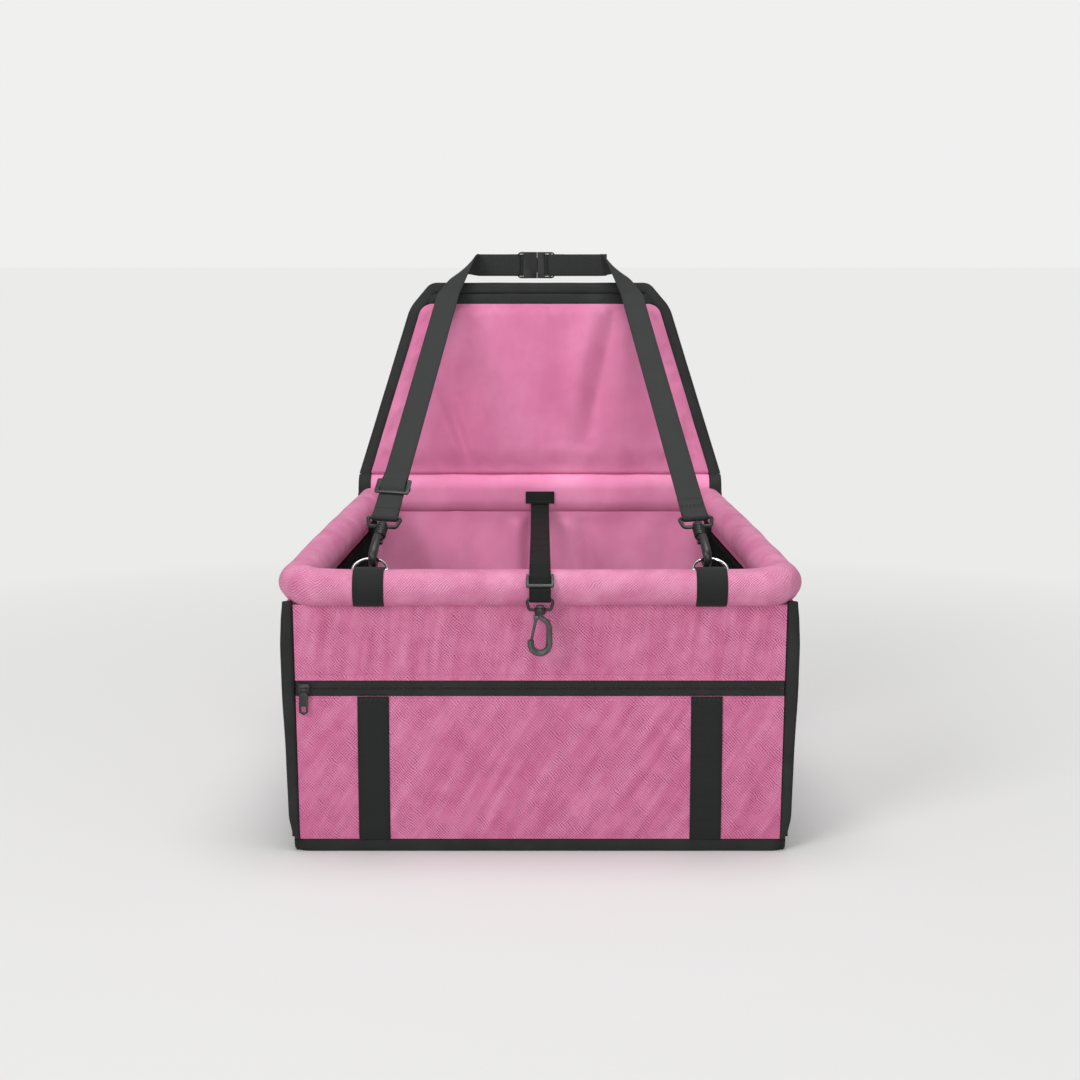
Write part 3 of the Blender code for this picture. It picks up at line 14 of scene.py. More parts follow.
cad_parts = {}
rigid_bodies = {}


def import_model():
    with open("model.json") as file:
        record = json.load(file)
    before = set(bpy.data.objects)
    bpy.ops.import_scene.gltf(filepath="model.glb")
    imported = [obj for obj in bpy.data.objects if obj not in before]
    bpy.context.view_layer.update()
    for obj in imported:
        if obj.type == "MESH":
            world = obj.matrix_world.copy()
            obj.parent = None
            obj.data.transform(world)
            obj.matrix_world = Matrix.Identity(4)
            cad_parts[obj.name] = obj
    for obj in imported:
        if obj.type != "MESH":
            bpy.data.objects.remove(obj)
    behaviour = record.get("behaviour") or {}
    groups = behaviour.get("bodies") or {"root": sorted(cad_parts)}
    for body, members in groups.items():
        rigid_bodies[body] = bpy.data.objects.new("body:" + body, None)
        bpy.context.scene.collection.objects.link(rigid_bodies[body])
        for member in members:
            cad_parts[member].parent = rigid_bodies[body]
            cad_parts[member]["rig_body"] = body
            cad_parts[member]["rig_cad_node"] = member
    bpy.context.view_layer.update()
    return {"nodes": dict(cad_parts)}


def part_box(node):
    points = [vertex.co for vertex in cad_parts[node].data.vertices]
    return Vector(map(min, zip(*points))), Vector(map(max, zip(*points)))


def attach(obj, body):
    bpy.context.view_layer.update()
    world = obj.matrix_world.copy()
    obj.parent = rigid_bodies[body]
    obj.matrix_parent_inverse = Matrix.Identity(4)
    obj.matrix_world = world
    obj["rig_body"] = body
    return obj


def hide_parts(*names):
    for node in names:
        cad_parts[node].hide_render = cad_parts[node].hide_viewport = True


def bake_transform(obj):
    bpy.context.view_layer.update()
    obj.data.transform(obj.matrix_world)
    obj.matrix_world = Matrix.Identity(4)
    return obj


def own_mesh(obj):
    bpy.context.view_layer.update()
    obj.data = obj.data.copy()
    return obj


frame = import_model()
nodes = frame["nodes"]
print("solids in the frame:", len(nodes))


# %% [markdown]
# ## Working by hand, in code
# An operator works on whatever is selected, so each step starts with nothing selected.
# Cloth and webbing all start as a flat grid, as they do on a cutting table: a grid has a
# UV map, so the weave follows the piece wherever the grid is laid. `lay_grid` adds one,
# lays each point in its place, and stores the UV map in metres.

# %% Small helpers
def pick_only(obj):
    """Select one object and make it active."""
    bpy.ops.object.select_all(action="DESELECT")
    obj.select_set(True)
    bpy.context.view_layer.objects.active = obj


@contextmanager
def edit_mode(obj, select=None):
    """Edit mode on one object, with its selection set first if select says how."""
    pick_only(obj)
    bpy.ops.object.mode_set(mode="EDIT")
    if select:
        bpy.ops.mesh.select_all(action=select)
    yield
    bpy.ops.object.mode_set(mode="OBJECT")


MERGE = 0.00002


def settle(obj, angle=45):
    """Merge doubles, turn the faces outwards and smooth all but the sharp edges."""
    with edit_mode(obj, "SELECT"):
        bpy.ops.mesh.remove_doubles(threshold=MERGE)
        bpy.ops.mesh.normals_make_consistent(inside=False)
    bpy.ops.object.transform_apply(location=True, rotation=True, scale=True)
    bpy.ops.object.shade_smooth_by_angle(angle=math.radians(angle))
    return obj


def apply_modifier(obj, name, kind, **settings):
    """Add a modifier, set it and apply it."""
    pick_only(obj)
    modifier = obj.modifiers.new(name, kind)
    for key, value in settings.items():
        setattr(modifier, key, value)
    bpy.ops.object.modifier_apply(modifier=modifier.name)
    return obj


def thicken(obj, thickness, offset):
    """Give a sheet its thickness and clean it."""
    apply_modifier(obj, "thickness", "SOLIDIFY", thickness=thickness, offset=offset)
    return settle(obj)


def lay_grid(name, columns, rows, place, size):
    """A grid laid by place(u, v), u and v from 0 to 1, its UV map in metres."""
    bpy.ops.object.select_all(action="DESELECT")
    bpy.ops.mesh.primitive_grid_add(x_subdivisions=columns, y_subdivisions=rows, size=1,
                                    location=(0, 0, 0))
    grid = bpy.context.object
    grid.name = name
    for loop in grid.data.uv_layers.active.data:
        loop.uv = (loop.uv[0] * size[0], loop.uv[1] * size[1])
    for vertex in grid.data.vertices:
        vertex.co = place(vertex.co.x + 0.5, vertex.co.y + 0.5)
    return grid


def close_ends(obj):
    """Fill the open ends of a rolled grid."""
    with edit_mode(obj, "SELECT"):
        bpy.ops.mesh.remove_doubles(threshold=MERGE)
        bpy.ops.mesh.select_mode(type="VERT")
        bpy.ops.mesh.select_all(action="DESELECT")
        bpy.ops.mesh.select_non_manifold()
        bpy.ops.mesh.edge_face_add()
    return obj


def repeat_along(obj, count, step):
    """The same small piece, count times, each a step further."""
    return apply_modifier(obj, "row", "ARRAY", count=count, use_relative_offset=False,
                          use_constant_offset=True, constant_offset_displace=step)


def smooth_step(low, high, value):
    """0 at low and 1 at high, with a soft start and end."""
    share = min(max((value - low) / (high - low), 0), 1)
    return share * share * (3 - 2 * share)


def mix(a, b, share):
    return a + (b - a) * share


# %% [markdown]
# ## Sizes
# These are the sizes of the frame's solids, so that the cloth meets them. PLAY is the gap
# that the solids keep where webbing runs round a bar.

# %% Sizes in metres
SIDES = ((-1, "left"), (1, "right"))
X_AXIS, Y_AXIS, Z_AXIS = Vector((1, 0, 0)), Vector((0, 1, 0)), Vector((0, 0, 1))
PLAY = 0.0003
WEB, WEB_WIDTH = 0.0014, 0.025
POCKET_STRAP_WIDTH, TAB_WIDTH, TETHER_WIDTH = 0.030, 0.029, 0.020
RIM_FRONT_Y, RIM_FRONT_Z = -0.190, 0.2575
RIM_DEPTH, RIM_RISE = 0.396, 0.0262
RIM_FRONT_HALF, RIM_REAR_HALF = 0.2335, 0.186
SLEEVE = 0.0165
REAR_Y, REAR_Z = RIM_FRONT_Y + RIM_DEPTH, 0.289
CHANNEL_HEIGHT, CHANNEL_DEPTH, CHANNEL_HALF = 0.043, 0.033, 0.2032
CHANNEL_FRONT = REAR_Y - CHANNEL_DEPTH / 2
CHANNEL_RISE = (CHANNEL_HEIGHT - CHANNEL_DEPTH) / 2
FACE_Y = -0.190
BASE_TOP = 0.0123
BASE_FRONT, BASE_REAR = -0.1872, 0.1765
POCKET_TOP = 0.1525
UPPER_LOW, UPPER_HIGH = 0.1677, 0.2405
CORNER_TOP = 0.2430
ZIP_Z = 0.160
RING_X = 0.1605
HINGE = Vector((0, REAR_Y, 0.3108))
LEAN = math.radians(21.4)
PANEL_UP = Vector((0, math.sin(LEAN), math.cos(LEAN)))
PANEL_BACK = Vector((0, math.cos(LEAN), -math.sin(LEAN)))


def rim_centre(y, side):
    """Centre line of a side tube at depth y."""
    share = (y - RIM_FRONT_Y) / RIM_DEPTH
    return Vector((side * mix(RIM_FRONT_HALF, RIM_REAR_HALF, share), y, RIM_FRONT_Z + RIM_RISE * share))


# %% [markdown]
# ## Shared effects
# Real cloth is never one flat colour. Three effects turn up in several finishes here, so
# each is a node group: a weave of small threads, a slow change of tone, and fine grain on
# moulded plastic. The groups give masks and heights only. The shader stays in the material.

# %% Node helpers
def group_with(name, inputs, outputs):
    """A shader node group with float or vector sockets."""
    group = bpy.data.node_groups.new(name, "ShaderNodeTree")
    for label, kind, value in inputs:
        socket = group.interface.new_socket(label, in_out="INPUT", socket_type=kind)
        if value is not None:
            socket.default_value = value
    for label, kind in outputs:
        group.interface.new_socket(label, in_out="OUTPUT", socket_type=kind)
    return group, group.nodes.new("NodeGroupInput"), group.nodes.new("NodeGroupOutput")


def math_node(tree, operation, first, second=None):
    """A Math node with sockets or numbers plugged in."""
    node = tree.nodes.new("ShaderNodeMath")
    node.operation = operation
    for socket, value in zip(node.inputs, (first, second)):
        if isinstance(value, (int, float)):
            socket.default_value = value
        elif value is not None:
            tree.links.new(value, socket)
    return node.outputs[0]


def split_vector(tree, vector):
    """The three numbers of a vector."""
    node = tree.nodes.new("ShaderNodeSeparateXYZ")
    tree.links.new(vector, node.inputs[0])
    return node.outputs


def map_range(tree, value, low, high, to_low, to_high):
    """Low to high becomes to_low to to_high, and stays within them."""
    node = tree.nodes.new("ShaderNodeMapRange")
    for socket, number in zip(list(node.inputs)[1:5], (low, high, to_low, to_high)):
        socket.default_value = number
    tree.links.new(value, node.inputs[0])
    return node.outputs[0]


# %% The weave: two threads that cross
def make_weave_group():
    """Height of a cloth whose threads cross at the given pitch, and a mask of the gaps between the threads,
    where shade is painted.
    """
    tree, start, end = group_with(
        "crossing threads",
        [("Vector", "NodeSocketVector", None), ("Pitch", "NodeSocketFloat", 0.001)],
        [("Height", "NodeSocketFloat"), ("Gaps", "NodeSocketFloat")])
    parts = split_vector(tree, start.outputs["Vector"])
    turn = math_node(tree, "DIVIDE", 2 * math.pi, start.outputs["Pitch"])
    across = math_node(tree, "MULTIPLY", parts[0], turn)
    along = math_node(tree, "MULTIPLY", parts[1], turn)
    product = math_node(tree, "MULTIPLY", math_node(tree, "SINE", across), math_node(tree, "SINE", along))
    twill = math_node(tree, "SINE", math_node(tree, "ADD", across, along))
    height = math_node(tree, "ADD", math_node(tree, "MULTIPLY", product, 0.6),
                       math_node(tree, "MULTIPLY", twill, 0.4))
    height = math_node(tree, "MULTIPLY", math_node(tree, "ADD", height, 1.0), 0.5)
    tree.links.new(height, end.inputs["Height"])
    tree.links.new(map_range(tree, height, 0.60, 0.18, 0.0, 1.0), end.inputs["Gaps"])
    return tree


WEAVE = make_weave_group()


# %% The slow change of tone, and the grain
def make_noise_group(name, scale, detail, roughness):
    """One octave-rich noise, from 0 to 1, in metres of the piece."""
    tree, start, end = group_with(
        name, [("Vector", "NodeSocketVector", None), ("Scale", "NodeSocketFloat", scale)],
        [("Value", "NodeSocketFloat")])
    cloud = tree.nodes.new("ShaderNodeTexNoise")
    cloud.inputs["Detail"].default_value = detail
    cloud.inputs["Roughness"].default_value = roughness
    tree.links.new(start.outputs["Vector"], cloud.inputs["Vector"])
    tree.links.new(start.outputs["Scale"], cloud.inputs["Scale"])
    tree.links.new(cloud.outputs[0], end.inputs["Value"])
    return tree


TONE = make_noise_group("slow tone", 14.0, 3.0, 0.55)
GRAIN = make_noise_group("fine grain", 1800.0, 2.0, 0.6)


def place_group(tree, group, **links):
    """A node group, with a socket or a number for each of its inputs."""
    node = tree.nodes.new("ShaderNodeGroup")
    node.node_tree = group
    for label, value in links.items():
        if isinstance(value, (int, float)):
            node.inputs[label].default_value = value
        else:
            tree.links.new(value, node.inputs[label])
    return node


def noise_at(tree, group, where, scale):
    """One of the two noises, from 0 to 1, on the piece's own coordinates."""
    return place_group(tree, group, Vector=where.outputs["Object"], Scale=scale).outputs[0]


# %% [markdown]
# ## Cloth finish
# Oxford cloth is a coarse basket weave with a slight shine on each thread. The colour comes
# from three tones: the thread, a darker tone in the gaps between threads that is painted shade,
# and a paler tone drawn in streaks along the folds, painted fold light over a slow random tone.
# Sheen gives the soft pale edge that cloth shows where it turns away.

# %% Build a cloth material
def colour_mix(tree, mask, first, second):
    """Mix two colours, each a colour or a socket, by a mask."""
    node = tree.nodes.new("ShaderNodeMix")
    node.data_type = "RGBA"
    if isinstance(mask, (int, float)):
        node.inputs[0].default_value = mask
    else:
        tree.links.new(mask, node.inputs[0])
    for socket, value in ((node.inputs[6], first), (node.inputs[7], second)):
        if isinstance(value, tuple):
            socket.default_value = (*value, 1)
        else:
            tree.links.new(value, socket)
    return node.outputs[2]


def bump(tree, shader, height, distance):
    node = tree.nodes.new("ShaderNodeBump")
    node.inputs["Distance"].default_value = distance
    node.inputs["Strength"].default_value = 1.0
    tree.links.new(height, node.inputs["Height"])
    tree.links.new(node.outputs[0], shader.inputs["Normal"])


def new_material(name):
    """A material with its tree, its shader and its texture coordinates."""
    material = bpy.data.materials.new(name)
    material.use_nodes = True
    tree = material.node_tree
    return material, tree, tree.nodes["Principled BSDF"], tree.nodes.new("ShaderNodeTexCoord")


def set_inputs(shader, **values):
    """Constants on the shader; a double underscore stands for a space."""
    for label, value in values.items():
        shader.inputs[label.replace("__", " ")].default_value = value


def leaning_streaks(tree, where, lean, squash):
    """Coordinates whose noise is drawn out upwards and leans to the side, so that the painted fold light runs
    along the folds.
    """
    parts = split_vector(tree, where.outputs["Object"])
    streak = tree.nodes.new("ShaderNodeCombineXYZ")
    sideways = math_node(tree, "ADD", parts[0], math_node(tree, "MULTIPLY", parts[2], -lean))
    for number, value in enumerate((sideways, parts[1], math_node(tree, "MULTIPLY", parts[2], squash))):
        tree.links.new(value, streak.inputs[number])
    return streak.outputs[0]


def cloth_material(name, thread, gap_shade, paler_tone_and_fold_light, pitch, relief, tone_scale, sheen=0.08, rough=0.85,
                   lean=0.0, squash=1.0, shine=0.25):
    """Woven cloth: thread colour, a gap colour painted as shade, and a paler tone in streaks along a lean,
    painted fold light over a slow random tone.
    """
    material, tree, shader, where = new_material(name)
    drawn = tree.nodes.new("ShaderNodeVectorMath")
    tree.links.new(where.outputs["UV"], drawn.inputs[0])
    drift = math_node(tree, "MULTIPLY", noise_at(tree, TONE, where, 90.0), 1.4 * pitch)
    tree.links.new(drift, drawn.inputs[1])
    weave = place_group(tree, WEAVE, Vector=drawn.outputs[0], Pitch=pitch)
    # Painted shade in the gaps between threads, stronger in some patches than in others.
    depth = map_range(tree, noise_at(tree, TONE, where, 48.0), 0.38, 0.60, 0.45, 1.0)
    gap_shade_mask = math_node(tree, "MULTIPLY", weave.outputs["Gaps"], depth)
    # The paler tone, drawn in leaning streaks along the folds: painted fold light over a slow random tone.
    tone = place_group(tree, TONE, Vector=leaning_streaks(tree, where, lean, squash), Scale=tone_scale)
    body = colour_mix(tree, map_range(tree, tone.outputs[0], 0.35, 0.7, 0.0, 1.0), thread, paler_tone_and_fold_light)
    tree.links.new(colour_mix(tree, gap_shade_mask, body, gap_shade), shader.inputs["Base Color"])
    grain = noise_at(tree, GRAIN, where, 900.0)
    tree.links.new(map_range(tree, grain, 0.3, 0.7, rough - 0.06, rough + 0.08), shader.inputs["Roughness"])
    set_inputs(shader, Sheen__Weight=sheen, Sheen__Roughness=0.45, Specular__IOR__Level=shine,
               Sheen__Tint=(*[min(c * 1.3 + 0.25, 1) for c in paler_tone_and_fold_light], 1))
    bump(tree, shader, weave.outputs["Height"], relief)
    return material


# Each cloth: thread colour, gap colour (painted shade between threads) and a paler tone; on the pink cloths
# that tone runs in streaks along the folds as painted fold light.
PINK_CLOTH = cloth_material(
    "pink Oxford cloth", (0.56, 0.155, 0.295), (0.25, 0.035, 0.105), (0.66, 0.235, 0.390),
    0.0030, 0.00022, tone_scale=90.0, lean=0.14, squash=0.15)
POCKET_CLOTH = cloth_material(
    "pink pocket cloth", (0.55, 0.148, 0.288), (0.25, 0.035, 0.105), (0.64, 0.225, 0.380),
    0.0030, 0.00022, tone_scale=80.0, lean=0.6, squash=0.2)
# The rim cloth is paler than the front cloth and its gaps are fainter: a painted highlight along the rim.
LIGHTENED_RIM_CLOTH = cloth_material(
    "pink rim cloth with painted highlight", (0.585, 0.178, 0.325), (0.34, 0.064, 0.158), (0.69, 0.275, 0.430),
    0.0027, 0.00012, sheen=0.12, rough=0.62, tone_scale=38.0, shine=0.45)
PINK_LINING = cloth_material(
    "smooth pink lining", (0.555, 0.158, 0.303), (0.49, 0.120, 0.245), (0.65, 0.225, 0.390),
    0.0009, 0.00005, sheen=0.10, tone_scale=16.0, lean=0.1, squash=0.3)
# A paler copy of the lining for the rear wall and the channel: painted light that offsets the shade inside
# the basket.
LIGHTENED_LINING = cloth_material(
    "lining lightened as painted light", (0.77, 0.245, 0.440), (0.68, 0.185, 0.36), (0.87, 0.335, 0.54),
    0.0009, 0.00005, sheen=0.10, tone_scale=16.0, lean=0.1, squash=0.3)
BLACK_TAPE = cloth_material(
    "black binding tape", (0.013, 0.014, 0.014), (0.006, 0.007, 0.007), (0.020, 0.022, 0.021),
    0.0008, 0.0001, sheen=0.04, rough=0.66, tone_scale=30.0)
NET_CORD = cloth_material(
    "black net cord", (0.008, 0.009, 0.009), (0.004, 0.004, 0.004), (0.013, 0.014, 0.014),
    0.0008, 0.00005, sheen=0.0, rough=0.8, tone_scale=30.0, shine=0.08)


# %% [markdown]
# ## Webbing finish
# Webbing is woven so tightly that its warp threads stand as fine ribs along its length,
# with a small zigzag where the weft pulls them in. A wave along the strap on its UV map
# gives the zigzag, and a second wave across it gives the ribs.

# %% Build the webbing material
def webbing_material(name, colour, ridge, rib=0.0016, shine=0.22, sheen=0.04):
    """Ribs across the strap and zigzags along it, on its UV map."""
    material, tree, shader, where = new_material(name)
    parts = split_vector(tree, where.outputs["UV"])
    shifted = math_node(tree, "ADD", parts[0], math_node(tree, "PINGPONG", parts[1], rib))
    ribs = math_node(tree, "SINE", math_node(tree, "MULTIPLY", shifted, 2 * math.pi / rib))
    weft = math_node(tree, "SINE", math_node(tree, "MULTIPLY", parts[1], math.pi / rib))
    height = math_node(tree, "ADD", math_node(tree, "MULTIPLY", ribs, 0.4), 0.5)
    height = math_node(tree, "ADD", height, math_node(tree, "MULTIPLY", weft, 0.12))
    tone = noise_at(tree, TONE, where, 25.0)
    # Colour follows the rib height, crests paler and grooves darker: a painted highlight and painted shade on
    # the ribs.
    body = colour_mix(tree, map_range(tree, height, 0.1, 0.9, 0.0, 1.0), colour, ridge)
    lifted = colour_mix(tree, map_range(tree, tone, 0.35, 0.75, 0.0, 0.45), body, ridge)
    tree.links.new(lifted, shader.inputs["Base Color"])
    tree.links.new(map_range(tree, tone, 0.3, 0.7, 0.62, 0.78), shader.inputs["Roughness"])
    set_inputs(shader, Sheen__Weight=sheen, Sheen__Roughness=0.4, Specular__IOR__Level=shine)
    bump(tree, shader, height, 0.00012)
    return material


# Each colour pair: the webbing's own colour, then the paler colour of the rib crests, a painted highlight.
WEBBING = webbing_material("black webbing", (0.013, 0.014, 0.014), (0.032, 0.034, 0.033))
FINE_BLACK = ((0.008, 0.009, 0.009), (0.018, 0.020, 0.019), 0.0011)
TAB_WEBBING = webbing_material("fine black webbing", *FINE_BLACK, shine=0.16)
TETHER_WEBBING = webbing_material("tether webbing", *FINE_BLACK, shine=0.06, sheen=0.0)


# %% [markdown]
# ## Moulded plastic, chrome, tube and thread
# Real moulded parts have a fine spark-eroded grain and turn paler along edges that rub; here a
# slow random tone makes some places paler and rougher, and bevelled edges catch the light. Chrome
# is almost all reflection, with a faint haze. Sewing thread is a soft, slightly paler pink or black.

# %% Build the hard finishes
def plastic_material(name, colour, worn, rough, grain=0.00002, scale=1500.0):
    """A moulded finish whose worn places are paler, with a fine grain."""
    material, tree, shader, where = new_material(name)
    tone = noise_at(tree, TONE, where, 120.0)
    wear = map_range(tree, tone, 0.45, 0.8, 0.0, 0.7)
    tree.links.new(colour_mix(tree, wear, colour, worn), shader.inputs["Base Color"])
    tree.links.new(map_range(tree, tone, 0.3, 0.7, rough - 0.07, rough + 0.09), shader.inputs["Roughness"])
    set_inputs(shader, Specular__IOR__Level=0.5)
    bump(tree, shader, noise_at(tree, GRAIN, where, scale), grain)
    return material


def chrome_material(name):
    material, tree, shader, where = new_material(name)
    haze = noise_at(tree, TONE, where, 220.0)
    metal = colour_mix(tree, haze, (0.42, 0.43, 0.44), (0.66, 0.66, 0.67))
    tree.links.new(metal, shader.inputs["Base Color"])
    tree.links.new(map_range(tree, haze, 0.3, 0.8, 0.06, 0.2), shader.inputs["Roughness"])
    set_inputs(shader, Metallic=1.0)
    return material


# The buckle's plastic is darker than the other black plastic: a painted shadow over the buckle.
SHADED_BUCKLE_PLASTIC = plastic_material("buckle plastic darkened as painted shadow", (0.005, 0.005, 0.005), (0.010, 0.010, 0.010), 0.58)
BLACK_PLASTIC = plastic_material("black moulded plastic", (0.009, 0.010, 0.010), (0.022, 0.023, 0.023), 0.40)
GREY_PLASTIC = plastic_material("grey moulded plastic", (0.050, 0.053, 0.052), (0.12, 0.125, 0.122), 0.33)
TUBE_PLASTIC = plastic_material("grey tube", (0.42, 0.43, 0.44), (0.52, 0.53, 0.54), 0.5)
BOARD_PLASTIC = plastic_material("base board", (0.09, 0.09, 0.09), (0.13, 0.13, 0.13), 0.6)
CHROME = chrome_material("chromed wire")
THREAD_GRAIN = (0.00005, 3000.0)
PINK_THREAD = plastic_material(
    "pink sewing thread", (0.78, 0.27, 0.48), (0.84, 0.34, 0.55), 0.75, *THREAD_GRAIN)
BLACK_THREAD = plastic_material(
    "black sewing thread", (0.022, 0.024, 0.023), (0.04, 0.042, 0.04), 0.7, *THREAD_GRAIN)
print("materials:", len(bpy.data.materials))


def paint(obj, material):
    obj.data.materials.clear()
    obj.data.materials.append(material)


def dress(obj, material, slot, body="basket", stands_for=()):
    """Give a finished piece its material, its body and the solids it replaces. The slot is not used."""
    paint(obj, material)
    if body:
        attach(obj, body)
    if stands_for:
        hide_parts(*stands_for)
    return obj


def bind(tape, *stands_for, body="basket"):
    """A finished binding of black tape."""
    return dress(tape, BLACK_TAPE, "binding", body, stands_for)


# %% [markdown]
# ## Folds
# Cloth held along its edges buckles into long shallow waves. A fold is described by a line
# and a width: `ridge` gives a smooth rise near that line. Adding a few of them, with a bit
# of slow noise, makes a panel look sewn and stretched without any two folds alike.

# %% Fold shapes
def ridge(x, z, start, end, width):
    """1 on the line from start to end, falling to 0 at the width on each side."""
    ahead = Vector((end[0] - start[0], end[1] - start[1]))
    offset = Vector((x - start[0], z - start[1]))
    along = min(max(offset.dot(ahead) / ahead.length_squared, 0), 1)
    away = (offset - ahead * along).length
    fade = math.sin(math.pi * min(max(along, 0.04), 0.96)) ** 0.5
    return math.exp(-(away / width) ** 2) * fade


def ripple(x, z, pitch, slope, seed):
    """Slanting waves whose strength and spacing wander."""
    drift = noise.noise(Vector((x * 7, z * 7, seed)))
    strength = 0.55 + 0.45 * noise.noise(Vector((x * 11, z * 5, seed + 9)))
    return math.sin(2 * math.pi * ((x + z * slope) / pitch + drift * 1.2)) * strength


def held(u, v, border_u, border_v):
    """0 on the sewn edges and 1 inside."""
    return smooth_step(0, border_u, min(u, 1 - u)) * smooth_step(0, border_v, min(v, 1 - v))


def drape(x, z, folds):
    """The sum of some folds, each with its height, its two ends and its width."""
    return sum(height * ridge(x, z, start, end, width) for height, start, end, width in folds)


# %% [markdown]
# ## Front wall
# The front is two cloth panels with a zip between them. Each could be a flat plate, but the
# real ones are stretched between the bound corners and ripple a little, so each is a fine
# grid with folds, given a thickness. The lower panel is the pocket's outer face.

# %% Front cloth panels
POCKET_FOLDS = [(1.2, (-0.222, 0.03), (-0.19, 0.145), 0.006), (0.8, (-0.206, 0.02), (-0.178, 0.1), 0.005)]
UPPER_FOLDS = [(1.3, (0.176, 0.172), (0.222, 0.238), 0.006), (0.9, (0.150, 0.172), (0.188, 0.236), 0.005)]
FOLD_HEIGHT, CLOTH_LIFT = 0.0008, 0.0006
CLOTH = 0.0014


def front_half(z):
    """Half width of the front wall at a height."""
    return mix(0.2295, 0.2325, z / 0.241)


def pocket_face(x, z):
    """Depth of the pocket panel's outer face."""
    u = (x / front_half(z) + 1) / 2
    v = (z - BASE_TOP) / (POCKET_TOP - BASE_TOP)
    folds = 0.8 * ripple(x, z, 0.0165, -0.55, 3.0) + 0.5 * ripple(x, z, 0.034, -0.7, 8.0)
    folds += drape(x, z, POCKET_FOLDS)
    bulge = 0.0022 * math.sin(math.pi * min(max(v, 0), 1)) * math.sin(math.pi * min(max(u, 0), 1)) ** 0.5
    return FACE_Y - 0.0004 - bulge - (FOLD_HEIGHT * folds + CLOTH_LIFT) * held(u, v, 0.03, 0.07)


def upper_face(x, z):
    """Depth of the upper panel's outer face."""
    u = (x / front_half(z) + 1) / 2
    v = (z - UPPER_LOW) / (UPPER_HIGH - UPPER_LOW)
    folds = 0.8 * ripple(x, z, 0.0150, -0.16, 5.0) + 0.4 * ripple(x, z, 0.031, -0.3, 1.0)
    folds += drape(x, z, UPPER_FOLDS)
    return FACE_Y - 0.0002 - (FOLD_HEIGHT * folds + CLOTH_LIFT) * held(u, v, 0.03, 0.16)


def front_cloth(name, low, high, face, seam, material, node):
    """One cloth panel of the front wall, with the dip that its row of stitches pulls in."""
    def place(u, v):
        z = mix(low, high, v)
        x = front_half(z) * (2 * u - 1)
        dip = 0.0010 * math.exp(-((z - seam) / 0.0016) ** 2)
        return Vector((x, face(x, z) + dip, z))
    grid = thicken(lay_grid(name, 190, 44, place, (0.465, high - low)), CLOTH, -1)
    dress(grid, material, "cloth", stands_for=[node])


# %% [markdown]
# ## Rim sleeve
# The sleeve is a long tube of cloth pulled over foam and pipe. The grid is rolled round the
# path of the pipe: along the left side, round two corners and back along the right side.
# Where the tube bends, the cloth has too much length inside the bend and gathers there, so
# the corner gets small creases on its inner side.

# %% Path of the rim
def bend_points(before, corner, after, radius, steps):
    """The arc that rounds a corner."""
    back, ahead = (before - corner).normalized(), (after - corner).normalized()
    half = back.angle(ahead) / 2
    centre = corner + (back + ahead).normalized() * radius / math.sin(half)
    start = corner + back * radius / math.tan(half) - centre
    end = corner + ahead * radius / math.tan(half) - centre
    axis, angle = start.rotation_difference(end).to_axis_angle()
    return [centre + Matrix.Rotation(angle * i / steps, 3, axis) @ start for i in range(steps + 1)]


def resample(points, count, others=None):
    """The same path in equal steps, with its length, and what goes with each point."""
    lengths = [0.0]
    for a, b in zip(points, points[1:]):
        lengths.append(lengths[-1] + (b - a).length)
    result, along, k = [], [], 0
    for i in range(count + 1):
        s = lengths[-1] * i / count
        while k < len(points) - 2 and lengths[k + 1] < s:
            k += 1
        share = min((s - lengths[k]) / max(lengths[k + 1] - lengths[k], 1e-9), 1)
        result.append(points[k].lerp(points[k + 1], share))
        if others:
            along.append(others[k].lerp(others[k + 1], share).normalized())
    return (result, lengths[-1], along) if others else (result, lengths[-1])


def arc(centre_y, centre_z, radius, start, end, steps):
    """Points (y, z) on a circle, from one angle to the other in degrees."""
    angles = [math.radians(mix(start, end, i / steps)) for i in range(steps + 1)]
    return [(centre_y + radius * math.cos(a), centre_z + radius * math.sin(a)) for a in angles]


def tangent(points, i):
    return (points[min(i + 1, len(points) - 1)] - points[max(i - 1, 0)]).normalized()


corner_left, corner_right = rim_centre(RIM_FRONT_Y, -1), rim_centre(RIM_FRONT_Y, 1)
end_left, end_right = rim_centre(CHANNEL_FRONT - 0.001, -1), rim_centre(CHANNEL_FRONT - 0.001, 1)
rim_path = [end_left] + bend_points(end_left, corner_left, corner_right, 0.024, 14)
rim_path += bend_points(corner_left, corner_right, end_right, 0.024, 14) + [end_right]
RIM_STEPS = 360
rim_points, rim_length = resample(rim_path, RIM_STEPS)
RIM_NORMAL = Vector((0, -RIM_RISE, RIM_DEPTH)).normalized()


